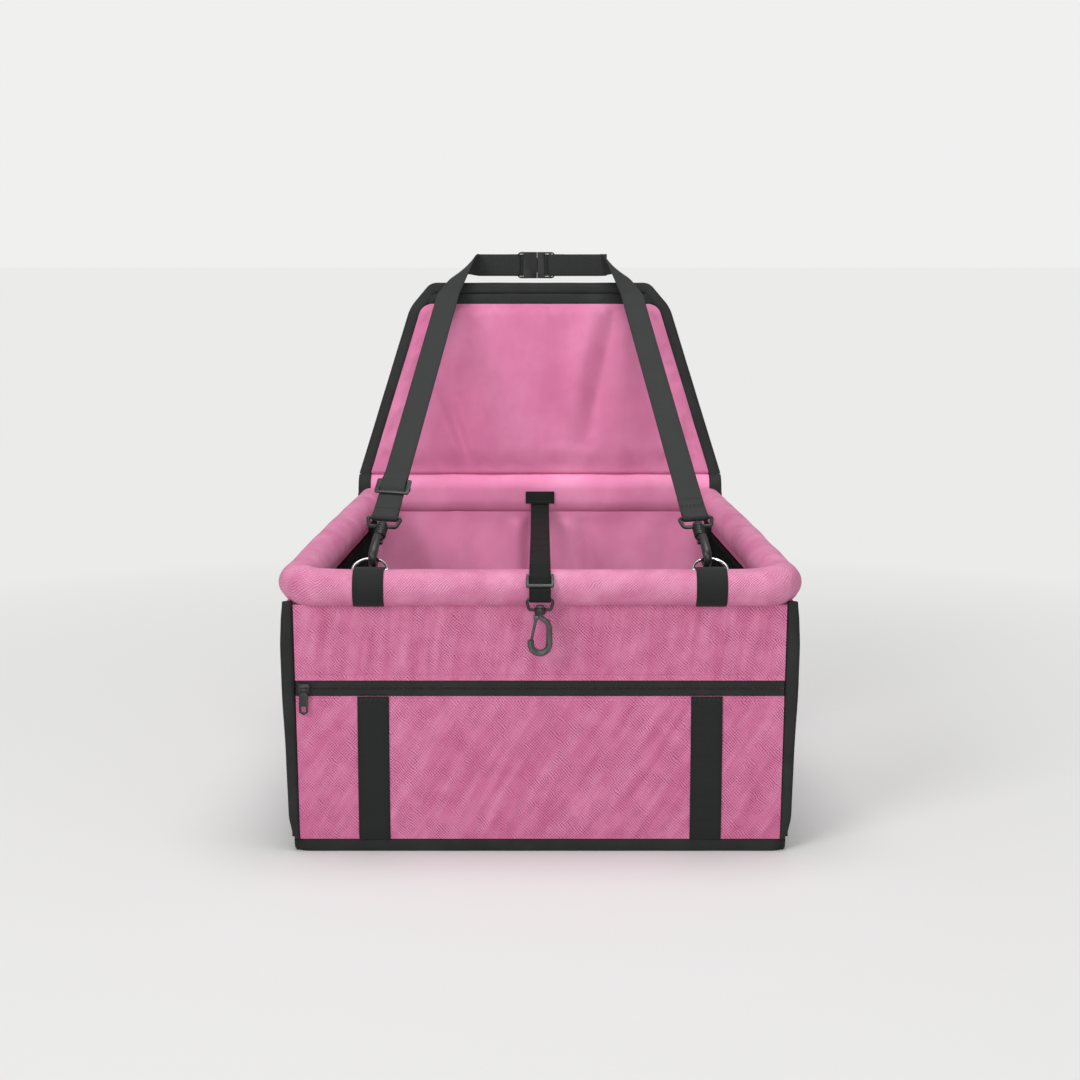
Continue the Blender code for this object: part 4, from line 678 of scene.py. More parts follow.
def rim_surface(u, v):
    """Sleeve surface: u round the tube from underneath, v along the path."""
    i = min(int(v * RIM_STEPS + 0.5), RIM_STEPS)
    point, ahead = rim_points[i], tangent(rim_points, i)
    outward = ahead.cross(RIM_NORMAL) * -1
    angle = 2 * math.pi * u - math.pi / 2
    inner = max(-math.cos(angle), 0)
    from_corners = [(point - corner).length for corner in (corner_left, corner_right)]
    near_corner = max(math.exp(-((away - 0.012) / 0.022) ** 2) for away in from_corners)
    crease = math.sin(v * rim_length / 0.0058 * 2 * math.pi) * inner ** 2 * near_corner * 0.0011
    soft = noise.noise(point * 24 + Vector((math.cos(angle), math.sin(angle), 0)) * 0.6) * 0.0007
    seam = 0.0009 * math.exp(-(min(u, 1 - u) / 0.02) ** 2)
    puff = 0.0028 * math.exp(-(min(from_corners) / 0.03) ** 2) * (1 - inner)
    thin_rear = 0.0020 * smooth_step(0.0, CHANNEL_FRONT, point.y)
    radius = SLEEVE + 0.0004 + crease + soft - seam + puff - thin_rear
    place = point + outward * math.cos(angle) * radius + RIM_NORMAL * math.sin(angle) * radius
    place.y = min(place.y, CHANNEL_FRONT + 0.0012)
    return place


sleeve = lay_grid("sleeve_over_the_rim", 48, RIM_STEPS, rim_surface, (2 * math.pi * SLEEVE, rim_length))
close_ends(sleeve)
settle(sleeve, 60)
dress(sleeve, LIGHTENED_RIM_CLOTH, "cloth", stands_for=["rim_sleeve"])
print("rim sleeve length", round(rim_length, 3))

UPPER_SEAM, POCKET_SEAM = 0.172, 0.149
front_cloth("upper_front_cloth", UPPER_LOW, 0.2407, upper_face, UPPER_SEAM, PINK_CLOTH, "front_panel")
front_cloth("pocket_cloth", BASE_TOP, POCKET_TOP, pocket_face, POCKET_SEAM, POCKET_CLOTH, "pocket_panel")
print("front panels done")


# %% [markdown]
# ## Strips: webbing and binding tape
# Webbing could be a flat plane with a thickness, but its woven edges are round and it is
# never quite flat. `roll_strip` rolls the grid round a flat oval and carries it along a path.

# %% Roll a strip along a path
def roll_strip(name, points, across, width, thickness, rows, power=5):
    """A flat closed strip. width is a number or a function of the share along the path."""
    if isinstance(across, Vector):
        across = [across] * len(points)
    path, length, sides = resample(points, rows, across)
    wide = width if callable(width) else lambda v: width

    def place(u, v):
        i = min(int(v * rows + 0.5), rows)
        side = sides[i]
        up = tangent(path, i).cross(side).normalized()
        angle = 2 * math.pi * u
        x = math.copysign(abs(math.cos(angle)) ** (2 / power), math.cos(angle))
        y = math.copysign(abs(math.sin(angle)) ** (2 / power), math.sin(angle))
        wander = noise.noise(path[i] * 40 + Vector((0, 0, x))) * thickness * 0.08
        return path[i] + side * x * wide(v) / 2 + up * (y * thickness / 2 + wander)
    widest = width if not callable(width) else max(wide(k / 10) for k in range(11))
    strip = lay_grid(name, 20, rows, place, (2 * (widest + thickness), length))
    close_ends(strip)
    return settle(strip, 60)


# %% [markdown]
# ## Corner bindings and the bound base
# A bias tape folds round each upright corner and hides the raw edges of the panels. In the
# photograph the front ones swell outwards below the rim and tuck in at the foot.

# %% Front corner bindings
FRONT_BINDING, REAR_BINDING = 0.0088, 0.0066
# Height, outer half width and inner half width, from the foot up.
CORNER_OUTLINE = [(0.0123, 0.2345, 0.2290), (0.020, 0.2380, 0.2295), (0.034, 0.2406, 0.2300),
                  (0.09, 0.2420, 0.2308), (0.165, 0.2450, 0.2320), (0.202, 0.2455, 0.2326),
                  (0.225, 0.2445, 0.2328), (0.2430, 0.2428, 0.2328)]


def corner_edges(z):
    """Outer and inner half width of the corner binding at a height."""
    for low, high in zip(CORNER_OUTLINE, CORNER_OUTLINE[1:]):
        if z <= high[0]:
            break
    even = max(z - low[0], 0) / (high[0] - low[0])
    share = 0.5 * smooth_step(low[0], high[0], z) + 0.5 * even if z <= high[0] else 1.0
    return mix(low[1], high[1], share), mix(low[2], high[2], share)


def corner_width(v):
    outer, inner = corner_edges(mix(BASE_TOP, CORNER_TOP, v))
    return outer - inner


for side, name in SIDES:
    heights = [mix(BASE_TOP, CORNER_TOP, k / 40) for k in range(41)]
    middle = [Vector((side * sum(corner_edges(z)) / 2, -0.1874, z)) for z in heights]
    tape = roll_strip(f"front_corner_binding_{name}", middle, X_AXIS, corner_width, FRONT_BINDING, 60, 3)
    bind(tape, f"corner_binding_front_{name}")

# %% Rear corner bindings and the base binding
def rear_y(z):
    """Depth of the middle of the rear wall."""
    return mix(0.1725, 0.2005, z / 0.2675)


def side_x(y, offset):
    """Half width under the rim at depth y."""
    return rim_centre(y, 1).x + offset


for side, name in SIDES:
    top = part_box(f"corner_binding_rear_{name}")[1].z
    path = [Vector((side * side_x(rear_y(z), 0.0018), rear_y(z) + 0.0011, z))
            for z in (BASE_TOP + 0.0004, top / 2, top)]
    tape = roll_strip(f"rear_corner_binding_{name}", path, X_AXIS, 0.0114, REAR_BINDING, 60, power=3.4)
    bind(tape, f"corner_binding_rear_{name}")

FOOT_Z = 0.006
BASE_MARGIN, HALF_BINDING = 0.0023, 0.00125
edge = BASE_MARGIN + PLAY + HALF_BINDING
front_y = BASE_FRONT - PLAY - HALF_BINDING
corners = [Vector((sign * side_x(y, edge), y, FOOT_Z))
           for sign, y in ((-1, BASE_REAR), (-1, front_y), (1, front_y), (1, BASE_REAR))]
path = [corners[0]] + bend_points(*corners[:3], 0.0133, 8)
path += bend_points(*corners[1:], 0.0133, 8) + [corners[3]]
bind(roll_strip("base_binding_tape", path, Z_AXIS, 0.012, 0.0029, 300, power=3.5), "base_binding")
print("bindings done")


# %% [markdown]
# ## Base
# A stiff board sits in a flat cloth cover. The board only shows at the rear slot, so it
# stays a plain solid. The cover's top is a little puffed between the walls and its edges
# are soft, so it is a crowned grid with a thickness.

# %% Base cover
COVER_TOP, COVER_THICKNESS = 0.0119, 0.0103


def base_top(u, v):
    """Top of the cover, a little puffed between its edges."""
    y = mix(BASE_FRONT, BASE_REAR, v)
    x = side_x(y, BASE_MARGIN) * (2 * u - 1)
    puff = 0.0006 * noise.noise(Vector((x * 16, y * 16, 2)))
    puff += 0.0004 * noise.noise(Vector((x * 45, y * 45, 7)))
    edge_drop = 0.0016 * (1 - held(u, v, 0.012, 0.012))
    return Vector((x, y, COVER_TOP + puff * held(u, v, 0.05, 0.05) - edge_drop))


cover = thicken(lay_grid("base_cover_cloth", 90, 70, base_top, (0.465, 0.364)), COVER_THICKNESS, -1)
for vertex in cover.data.vertices:
    if vertex.co.z < 0.0045:
        vertex.co.z = 0.0
bind(cover, "base_cover")


# %% [markdown]
# ## Pocket straps
# Two wide straps are sewn flat on the pocket, from its top edge to the base. They follow
# the folds under them, so their path is read from the pocket's own surface.

# %% Pocket straps and their stitches
def bead(name, size, place, turn=None):
    """A small flattened ball: a stitch, or a loop of the zip's coil."""
    bpy.ops.object.select_all(action="DESELECT")
    bpy.ops.mesh.primitive_uv_sphere_add(segments=8, ring_count=5, radius=0.5, location=(0, 0, 0))
    ball = bpy.context.object
    ball.name = name
    ball.dimensions = size
    if turn:
        ball.rotation_mode = "QUATERNION"
        ball.rotation_quaternion = turn
    ball.location = place
    bpy.ops.object.transform_apply(location=True, rotation=True, scale=True)
    return ball


def stitch_row(name, start, end, material, slot, surface=None, pitch=0.0042, length=0.0031):
    """A row of thread stitches from start to end, laid on a surface if one is given."""
    run = end - start
    count = max(int(run.length / pitch), 1)
    turn = X_AXIS.rotation_difference(run)
    stitch = bead(name, (length, 0.0006, 0.0006), start + run * (0.5 / count), turn)
    repeat_along(stitch, count, run / count)
    if surface:
        for vertex in stitch.data.vertices:
            vertex.co = surface(vertex.co)
    settle(stitch, 60)
    dress(stitch, material, slot)


STRAP_X, SEAM_WIDTH = 0.158, 0.027
for side, name in SIDES:
    middle = side * STRAP_X
    heights = [mix(BASE_TOP, 0.1524, k / 50) for k in range(51)]
    front = [min(pocket_face(middle + dx, z) for dx in (-0.014, -0.007, 0, 0.007, 0.014)) - 0.0006
             for z in heights]
    path = [Vector((middle, y, z)) for y, z in zip(front, heights)]
    strap = roll_strip(f"pocket_strap_{name}", path, X_AXIS, POCKET_STRAP_WIDTH, 0.0013, 120)
    dress(strap, TAB_WEBBING, "webbing", stands_for=[f"pocket_strap_{name}"])
    y = min(front[0], front[-1]) - 0.0009
    for z in (0.1495, 0.0165):
        start = Vector((middle - SEAM_WIDTH / 2, y, z))
        stitch_row(f"pocket_strap_stitches_{name}_{z:.3f}", start, start + X_AXIS * SEAM_WIDTH,
                   BLACK_THREAD, "webbing")


# %% [markdown]
# ## Seams by the zip
# A row of stitches runs above and below the zip, 5 mm from each folded edge. One stitch is
# modelled, repeated along the row, and dropped onto the cloth's own surface.

# %% Seam stitches on the front
for z, face, name in ((UPPER_SEAM, upper_face, "above"), (POCKET_SEAM, pocket_face, "below")):
    stitch_row(f"front_seam_{name}", Vector((-0.229, 0, z)), Vector((0.229, 0, z)), PINK_THREAD, "cloth",
               lambda p, face=face: Vector((p.x, p.y + face(p.x, p.z) + 0.0002, p.z)))


# %% [markdown]
# ## Zip
# The tapes are a dense twill, and the coil is sewn to their backs, so from the front a
# narrow row of loops shows in the gap. One loop is modelled and repeated 304 times, so it
# has only a few faces.

# %% Tapes and coil
HALF_GAP = 0.0004
COIL_LOOPS, COIL_PITCH = 304, 0.0015
for name, low, high in (("upper", ZIP_Z + HALF_GAP, 0.1673), ("lower", 0.1528, ZIP_Z - HALF_GAP)):
    path = [Vector((x, FACE_Y + 0.0004, (low + high) / 2)) for x in (-0.2312, 0.0, 0.2312)]
    tape = roll_strip(f"{name}_zip_tape", path, Z_AXIS, high - low, 0.0013, 200, power=6)
    bind(tape, f"zip_tape_{name}")
coil = bead("zip_coil", (0.0010, 0.0012, 0.0030), (-0.228, FACE_Y - 0.0002, ZIP_Z))
repeat_along(coil, COIL_LOOPS, (COIL_PITCH, 0, 0))
settle(coil, 60)
dress(coil, BLACK_PLASTIC, "moulded_black", stands_for=["zip_coil"])
print("zip coil:", COIL_LOOPS, "loops")


# %% [markdown]
# ## Moulded and metal parts
# The frame's solids already have the right shape for buckles, hooks, rings and the zip's
# slider. Moulds can't make a razor edge, though, so a copy of each is cleaned, its flat
# faces are merged, and its edges get a small round that catches the light.

# %% Round the edges of a copy
def soften(node, title, material, slot, body, radius):
    """A copy of a solid with rounded edges, which stands for it."""
    copy = nodes[node].copy()
    copy.data = nodes[node].data.copy()
    copy.name = title
    copy.parent = None
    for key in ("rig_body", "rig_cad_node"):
        if key in copy:
            del copy[key]
    bpy.context.scene.collection.objects.link(copy)
    with edit_mode(copy, "SELECT"):
        bpy.ops.mesh.remove_doubles(threshold=0.000005)
        bpy.ops.mesh.dissolve_limited(angle_limit=math.radians(1))
    if radius:
        apply_modifier(copy, "edges", "BEVEL", width=radius, segments=2, limit_method="ANGLE",
                       angle_limit=math.radians(32), use_clamp_overlap=True)
    pick_only(copy)
    bpy.ops.object.shade_smooth_by_angle(angle=math.radians(50))
    return dress(copy, material, slot, body, [node])


# BUCKLE pairs the darkened buckle plastic, a painted shadow, with its slot.
BLACK, GREY, BUCKLE = ((BLACK_PLASTIC, "moulded_black"), (GREY_PLASTIC, "moulded_grey"),
                       (SHADED_BUCKLE_PLASTIC, "moulded_black"))
FINE, SMALL, LARGE = 0.00025, 0.0003, 0.0006
soften("zip_slider", "zip_slider_body", *BLACK, "zip_slider", SMALL)
soften("zip_pull", "zip_pull_tab", BLACK_PLASTIC, "moulded_grey", "zip_pull", SMALL)
for side, name in SIDES:
    soften(f"hook_bow_{name}", f"swivel_bow_{name}", *BLACK, "basket", FINE)
    soften(f"snap_hook_{name}", f"hook_body_{name}", *BLACK, f"hook_{name}", SMALL)
    soften(f"hook_gate_{name}", f"gate_{name}", *GREY, f"gate_{name}", SMALL)
    soften(f"d_ring_{name}", f"ring_{name}", CHROME, "chrome_wire", f"ring_{name}", 0)
soften("strap_adjuster", "strap_slider", *BLACK, "strap_adjuster", LARGE)
soften("tether_adjuster", "tether_slider", *BLACK, "basket", 0.0005)
soften("tether_bow", "tether_swivel_bow", *BLACK, "tether_bow", FINE)
# The hook body wears the grey plastic instead of black: a painted highlight on the black hook.
tether_hook = soften("tether_hook", "tether_hook_body", GREY_PLASTIC, "moulded_black", "tether_hook", SMALL)
soften("tether_gate", "tether_hook_gate", *GREY, "tether_gate", SMALL)
soften("buckle_female", "buckle_socket", *BUCKLE, "back_panel", LARGE)
soften("buckle_male", "buckle_plug", *BUCKLE, "buckle_male", LARGE)
arms = soften("buckle_arms", "buckle_arms", *BUCKLE, "buckle_male", 0.0004)

# %% A stouter tether hook, and the solids that stay as they are
low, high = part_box("tether_hook")
for vertex in tether_hook.data.vertices:
    stout = smooth_step(0.75, 0.15, (vertex.co.z - low.z) / (high.z - low.z))
    vertex.co += vertex.normal * 0.0006 * stout
for name in nodes:
    if name.startswith(("rim_tube_", "elbow_")):
        paint(nodes[name], TUBE_PLASTIC)
paint(nodes["base_board"], BOARD_PLASTIC)
print("hard parts done")


# %% [markdown]
# ## Sides: cloth bands and nets
# Below the rim each side has a pink band, and below that a net that lets air in. A net
# could be a picture of holes, but from close up it has real cords, so the inner part of a
# grid becomes a wireframe and the outer part a bound edge.

# %% Side walls
SIDE_Y = -0.1829
side_run = Vector((RIM_REAR_HALF - RIM_FRONT_HALF, RIM_DEPTH, 0)).normalized()
SIDE_TOP = rim_centre(SIDE_Y, 1).z - SLEEVE - PLAY
SIDE_SLOPE = RIM_RISE / RIM_DEPTH * side_run.y
NET_COLUMNS, NET_ROWS = 100, 60
NET_EDGE_COLUMNS, NET_EDGE_ROWS = 2, 1
CORD_WIDTH, NET_BORDER = 0.0009, 0.0031
BAND_DROP, BAND_THICKNESS = 0.020, 0.0026


def side_length(z):
    return (rear_y(z) - 0.0021 - SIDE_Y) / side_run.y


def side_point(side, t, z, out):
    """Point on a side wall: t back along it, z up, out away from the cabin."""
    x = rim_centre(SIDE_Y, 1).x + 0.004 + side_run.x * t + side_run.y * out
    return Vector((side * x, SIDE_Y + side_run.y * t - side_run.x * out, z))


def side_height(t, drop):
    return min(SIDE_TOP + SIDE_SLOPE * t, 0.2672) - drop


def is_net_edge(index):
    """Whether a face of the net's grid lies in its bound edge."""
    column, row = index % NET_COLUMNS, index // NET_COLUMNS
    return (min(column, NET_COLUMNS - 1 - column) < NET_EDGE_COLUMNS
            or min(row, NET_ROWS - 1 - row) < NET_EDGE_ROWS)


for side, name in SIDES:
    def band_place(u, v, side=side):
        t = u * side_length(0.24)
        z = mix(side_height(t, BAND_DROP), side_height(t, 0), v)
        t = u * side_length(z)
        folds = FOLD_HEIGHT * ripple(t, z, 0.038, -0.2, 4.0 + side) * held(u, v, 0.04, 0.15)
        return side_point(side, t, z, 0.0015 + folds)
    band = lay_grid(f"side_cloth_band_{name}", 130, 10, band_place, (0.38, BAND_DROP))
    thicken(band, BAND_THICKNESS, side)
    dress(band, PINK_LINING, "cloth", stands_for=[f"side_band_{name}"])

    def net_place(u, v, side=side):
        t = u * side_length(0.1)
        z = mix(BASE_TOP, side_height(t, 0.0186), v)
        return side_point(side, u * side_length(z), z, 0.0010 * math.sin(math.pi * u) * math.sin(math.pi * v))
    net = lay_grid(f"net_{name}", NET_COLUMNS, NET_ROWS, net_place, (0.37, 0.22))
    with edit_mode(net):
        bpy.ops.mesh.select_mode(type="FACE")
        bpy.ops.mesh.select_all(action="DESELECT")
    for polygon in net.data.polygons:
        polygon.select = is_net_edge(polygon.index)
    with edit_mode(net):
        bpy.ops.mesh.separate(type="SELECTED")
    border = [o for o in bpy.context.selected_objects if o != net][0]
    border.name = f"net_border_{name}"
    dress(thicken(border, NET_BORDER, 0), NET_CORD, "net")
    apply_modifier(net, "cords", "WIREFRAME", thickness=CORD_WIDTH, use_even_offset=False)
    dress(settle(net), NET_CORD, "net", stands_for=[f"mesh_window_{name}"])
    print(f"{net.name}: {len(net.data.polygons)} faces, {border.name}: {len(border.data.polygons)} faces")


# %% [markdown]
# ## Inner front, rear wall and the channel
# The lining and the rear wall are single sheets, stretched at their seams. The channel is
# a sleeve of its own that holds the rear pipe, flatter than the rim and closed at its ends.

# %% Lining and rear wall
def lining_place(u, v):
    z = mix(BASE_TOP, UPPER_HIGH, v)
    x = front_half(z) * (2 * u - 1)
    folds = ripple(x, z, 0.06, 0.3, 21.0) + 0.5 * ridge(x, z, (-0.1, 0.03), (-0.02, 0.2), 0.02)
    return Vector((x, -0.1834 + 0.0014 * folds * held(u, v, 0.05, 0.08), z))


lining = thicken(lay_grid("inner_front_cloth", 120, 60, lining_place, (0.465, 0.23)), 0.0016, 1)
dress(lining, PINK_LINING, "cloth", stands_for=["front_lining"])

REAR_FOLDS = [(2.4, (0.014, 0.31), (0.062, 0.12), 0.010), (-3.0, (0.034, 0.31), (0.080, 0.12), 0.009),
              (3.4, (-0.028, 0.32), (-0.024, 0.05), 0.008), (-3.2, (-0.012, 0.32), (-0.009, 0.05), 0.007),
              (2.4, (-0.14, 0.31), (-0.09, 0.05), 0.012), (-2.4, (-0.075, 0.31), (-0.065, 0.05), 0.014)]


def rear_place(u, v):
    z = mix(BASE_TOP + 0.0006, 0.2694, v)
    y = rear_y(z) - 0.0014
    x = side_x(y, 0.0055) * (2 * u - 1)
    folds = 2.0 * ripple(x, z, 0.070, 0.15, 31.0) + drape(x, z, REAR_FOLDS)
    return Vector((x, y - 0.0017 * folds * held(u, v, 0.05, 0.06), z))


rear = thicken(lay_grid("rear_wall_cloth", 200, 64, rear_place, (0.385, 0.256)), 0.0028, -1)
dress(rear, LIGHTENED_LINING, "cloth", stands_for=["rear_wall"])
print("lining and rear wall done")


# %% Rear channel
def channel_place(u, v):
    """Sleeve round the rear pipe: u round it, v along it, drawn in at both ends."""
    angle = 2 * math.pi * u
    x = CHANNEL_HALF * (2 * v - 1)
    tuck = max(abs(x) - (CHANNEL_HALF - 0.007), 0) / 0.007
    fill = math.sqrt(max(1 - 0.55 * tuck ** 2, 0))
    soft = 0.0011 * noise.noise(Vector((x * 26, math.cos(angle) * 0.7, math.sin(angle) * 0.7 + 4))) - 0.0006
    reach = (CHANNEL_DEPTH / 2 + soft) * fill
    rise = CHANNEL_RISE * fill * (1 if math.sin(angle) > 0 else -1)
    return Vector((x, REAR_Y - math.cos(angle) * reach, REAR_Z + math.sin(angle) * reach + rise))


channel = lay_grid("rear_channel_sleeve", 48, 150, channel_place, (0.13, 2 * CHANNEL_HALF))
close_ends(channel)
settle(channel, 60)
dress(channel, LIGHTENED_LINING, "cloth", stands_for=["rear_channel"])

# %% Bound ends of the channel
# The binding of the panel above runs on over the channel's ends, down to the side tubes.
over_end = arc(REAR_Y, REAR_Z + CHANNEL_RISE, CHANNEL_DEPTH / 2, 94, 180, 8)
for side, name in SIDES:
    points = [Vector((side * 0.1958, y, z)) for y, z in over_end]
    points += [Vector((side * 0.1962, CHANNEL_FRONT - 0.0012, REAR_Z + 0.001)),
               Vector((side * 0.1967, CHANNEL_FRONT - 0.0010, REAR_Z - 0.004))]
    bind(roll_strip(f"channel_end_binding_{name}", points, X_AXIS, 0.0136, 0.0014, 60, power=3.2))
print("channel done")


# %% [markdown]
# ## Back panel
# The panel is a thin quilt: cloth, foam, cloth. Its edges are caught in the binding and the
# middle is loose, so it swells and drapes in long soft folds. The cloth simulation swells
# a closed pad whose border is pinned, and the folds seen in the photograph are added along
# their own lines.

# %% Panel outline and pad
PANEL_HEIGHT = 0.226
PANEL_FOOT = 0.0012
BAND_LOW = PANEL_HEIGHT - 0.0265
PAD_TOP = BAND_LOW + 0.0015
PAD_CORNER = 0.011
PAD_FRONT, PAD_THICKNESS = 0.0006, 0.0062


def panel_half(v):
    """Half width of the panel at a height along it."""
    return mix(0.2035, 0.1486, min(v / 0.196, 1.0))


def on_panel(x, v, back):
    """Point on the back panel: x across, v up along it, back behind its front face."""
    return HINGE + X_AXIS * x + PANEL_UP * v + PANEL_BACK * back


def pad_place(u, v):
    """The pad's front face, with rounded upper corners."""
    height = mix(PANEL_FOOT, PAD_TOP, v)
    over = max(height - (PAD_TOP - PAD_CORNER), 0)
    corner_cut = PAD_CORNER - math.sqrt(max(PAD_CORNER ** 2 - over ** 2, 0))
    return on_panel((panel_half(height) - 0.0125 - corner_cut) * (2 * u - 1), height, PAD_FRONT)


def swell(obj, pinned, pressure, cap, frames):
    """Swell a closed piece with the cloth simulation; pinned points stay, none moves past cap."""
    rest = [v.co.copy() for v in obj.data.vertices]
    group = obj.vertex_groups.new(name="sewn")
    group.add(pinned, 1.0, "REPLACE")
    pick_only(obj)
    cloth = obj.modifiers.new("air", "CLOTH")
    cloth.settings.quality = 5
    cloth.settings.mass = 0.2
    cloth.settings.tension_stiffness = 12
    cloth.settings.compression_stiffness = 8
    cloth.settings.bending_stiffness = 0.4
    cloth.settings.vertex_group_mass = "sewn"
    cloth.settings.use_pressure = True
    cloth.settings.uniform_pressure_force = pressure
    cloth.settings.effector_weights.gravity = 0
    cloth.settings.shrink_min = -0.02
    cloth.point_cache.frame_start, cloth.point_cache.frame_end = 1, frames
    for number in range(1, frames + 1):
        bpy.context.scene.frame_set(number)
    bpy.ops.object.modifier_apply(modifier="air")
    bpy.context.scene.frame_set(1)
    for vertex, start in zip(obj.data.vertices, rest):
        move = vertex.co - start
        if move.length > cap:
            vertex.co = start + move.normalized() * cap
    obj.vertex_groups.clear()
    return obj


# Each fold: its height, its two ends on the panel (across, up) and its width.
PANEL_FOLDS = [
    (0.0075, (0.066, 0.215), (0.026, 0.030), 0.013), (-0.0070, (0.092, 0.215), (0.054, 0.035), 0.010),
    (0.0045, (-0.096, 0.215), (-0.100, 0.085), 0.010), (-0.0040, (-0.068, 0.215), (-0.074, 0.070), 0.012),
    (0.0040, (-0.120, 0.095), (-0.088, 0.010), 0.007), (-0.0030, (-0.107, 0.092), (-0.078, 0.008), 0.006),
    (0.0032, (-0.095, 0.092), (-0.068, 0.006), 0.007), (-0.0024, (0.020, 0.080), (0.034, 0.002), 0.010),
    (0.0026, (0.002, 0.21), (0.000, 0.05), 0.020)]
pad = thicken(lay_grid("padded_back_panel", 110, 64, pad_place, (0.38, 0.198)), PAD_THICKNESS, -1)
border_points = []
for vertex in pad.data.vertices:
    local = vertex.co - HINGE
    height = local.dot(PANEL_UP)
    half = panel_half(height) - 0.0178
    if height < PANEL_FOOT + 0.003 or height > BAND_LOW - 0.004 or abs(local.x) > half:
        border_points.append(vertex.index)
swell(pad, border_points, pressure=2.5, cap=0.004, frames=18)
for vertex in pad.data.vertices:
    local = vertex.co - HINGE
    x, v, back = local.x, local.dot(PANEL_UP), local.dot(PANEL_BACK)
    if back < 0.004:
        share = (v - PANEL_FOOT) / (BAND_LOW - PANEL_FOOT)
        inside = held((x / panel_half(v) + 1) / 2, share, 0.06, 0.05) * smooth_step(0, 0.14, share)
        folds = drape(x, v, PANEL_FOLDS) + 0.0022 * ripple(x, v, 0.075, 0.06, 41.0) + 0.0012
        flatten = 1 - smooth_step(0.002, 0.030, v)
        vertex.co -= PANEL_BACK * (folds * inside + (back - PAD_FRONT) * flatten)
apply_modifier(pad, "smooth", "SUBSURF", levels=1, render_levels=1)
pick_only(pad)
bpy.ops.object.shade_smooth_by_angle(angle=math.radians(60))
dress(pad, PINK_LINING, "cloth", "back_panel", ["back_panel"])
print("pad:", len(pad.data.polygons), "faces")


# %% [markdown]
# ## Panel binding
# A black band wraps the sides and top of the panel. The side bands turn the shoulder, so
# they follow a rounded path; the top is two tapes side by side, which gives the seam along
# its middle.

# %% Side and top bands
INSET, MIDDLE = 0.0068, 0.004
outline = [on_panel(-(panel_half(PANEL_FOOT) - INSET), 0.0003, MIDDLE),
           on_panel(-0.1486 + INSET * 0.9, 0.1935, MIDDLE),
           on_panel(-0.1254 + INSET * 0.5, PANEL_HEIGHT - INSET * 0.95, MIDDLE)]
outline += [Vector((-p.x, p.y, p.z)) for p in reversed(outline)]
path = [outline[0]]
for k, bend in ((1, 0.040), (2, 0.008), (3, 0.008), (4, 0.040)):
    path += bend_points(*outline[k - 1:k + 2], bend, 10)
path.append(outline[-1])
across = [PANEL_BACK.cross(tangent(path, i)).normalized() for i in range(len(path))]
edge_tape = roll_strip("panel_edge_binding", path, across, 0.0136, 0.0074, 420, power=3.2)
bind(edge_tape, "panel_binding_left", "panel_binding_right", body="back_panel")
line = [on_panel(x, BAND_LOW + 0.0070, MIDDLE) for x in (-0.133, 0, 0.133)]
top_tape = roll_strip("panel_top_tape", line, PANEL_UP, 0.0136, 0.0066, 150, power=3.5)
bind(top_tape, "panel_top_band", body="back_panel")

# %% Seam tape between panel and channel
# A strip of the lining closes the gap above the channel and turns with the panel.
line = [Vector((x, HINGE.y + 0.0045, 0.3098)) for x in (-0.199, 0, 0.199)]
upwards = (PANEL_UP * 0.8 + PANEL_BACK * 0.2).normalized()
hem = roll_strip("panel_hem", line, upwards, 0.0075, 0.0022, 160, power=3)
dress(hem, PINK_LINING, "cloth", "back_panel")
print("back panel done")


# %% [markdown]
# ## Long straps
# Each strap starts at a fold round its hook's bow, runs flat to the top of the panel, then
# twists on edge and turns behind the head rest. The path repeats the frame's own numbers,
# so the webbing passes through the slider and round the bars with the same small gaps.

# %% Strap paths
def strap_axes(side):
    """Origin on the ring's bar, the way to the strap's top, its direction, its width, its front."""
    origin = Vector((side * RING_X, -0.178237, 0.271519))
    along = Vector((side * 0.104, 0.260, 0.5085)) - origin
    ahead = along.normalized()
    across = (X_AXIS - X_AXIS.dot(ahead) * ahead).normalized()
    return origin, along, ahead, across, across.cross(ahead)


def spline_through(points, steps):
    """A smooth curve through the points."""
    result = []
    for i in range(len(points) - 1):
        p = [points[max(i - 1, 0)], points[i], points[i + 1], points[min(i + 2, len(points) - 1)]]
        for k in range(steps):
            t = k / steps
            turning = 2 * p[0] - 5 * p[1] + 4 * p[2] - p[3]
            change = 3 * p[1] - p[0] - 3 * p[2] + p[3]
            result.append((2 * p[1] + (p[2] - p[0]) * t + turning * t ** 2 + change * t ** 3) / 2)
    return result + [points[-1]]


def around_bar(radius):
    """Radius of the webbing's middle where it runs round a bar."""
    return radius + PLAY + WEB / 2


def fold_round_bar(centre, ahead, out, turn, steps=8):
    """Half a turn of webbing round a bar, from the side where out is negative."""
    points = []
    for i in range(steps + 1):
        angle = math.radians(-90 - 180 * i / steps)
        points.append(centre + ahead * turn * math.cos(angle) + out * turn * math.sin(angle))
    return points


STRAP_TURN = Vector((0.0700, 0.3160, 0.5395))
TWIST_KNOTS = ((0.0900, 0.2790, 0.5320), (0.0800, 0.3010, 0.5405), STRAP_TURN)
FINE_STITCHES = {"pitch": 0.0034, "length": 0.0026}
HOOK_BAR, HOOK_TURN = 0.082, around_bar(0.0019)
BUCKLE_TURN = around_bar(0.0022 / math.sqrt(2))


def in_buckle(x, y=0.0, z=0.0):
    """A point by the buckle: x along its webbing, y and z from its middle."""
    return Vector((x, STRAP_TURN.y + y, STRAP_TURN.z + z))


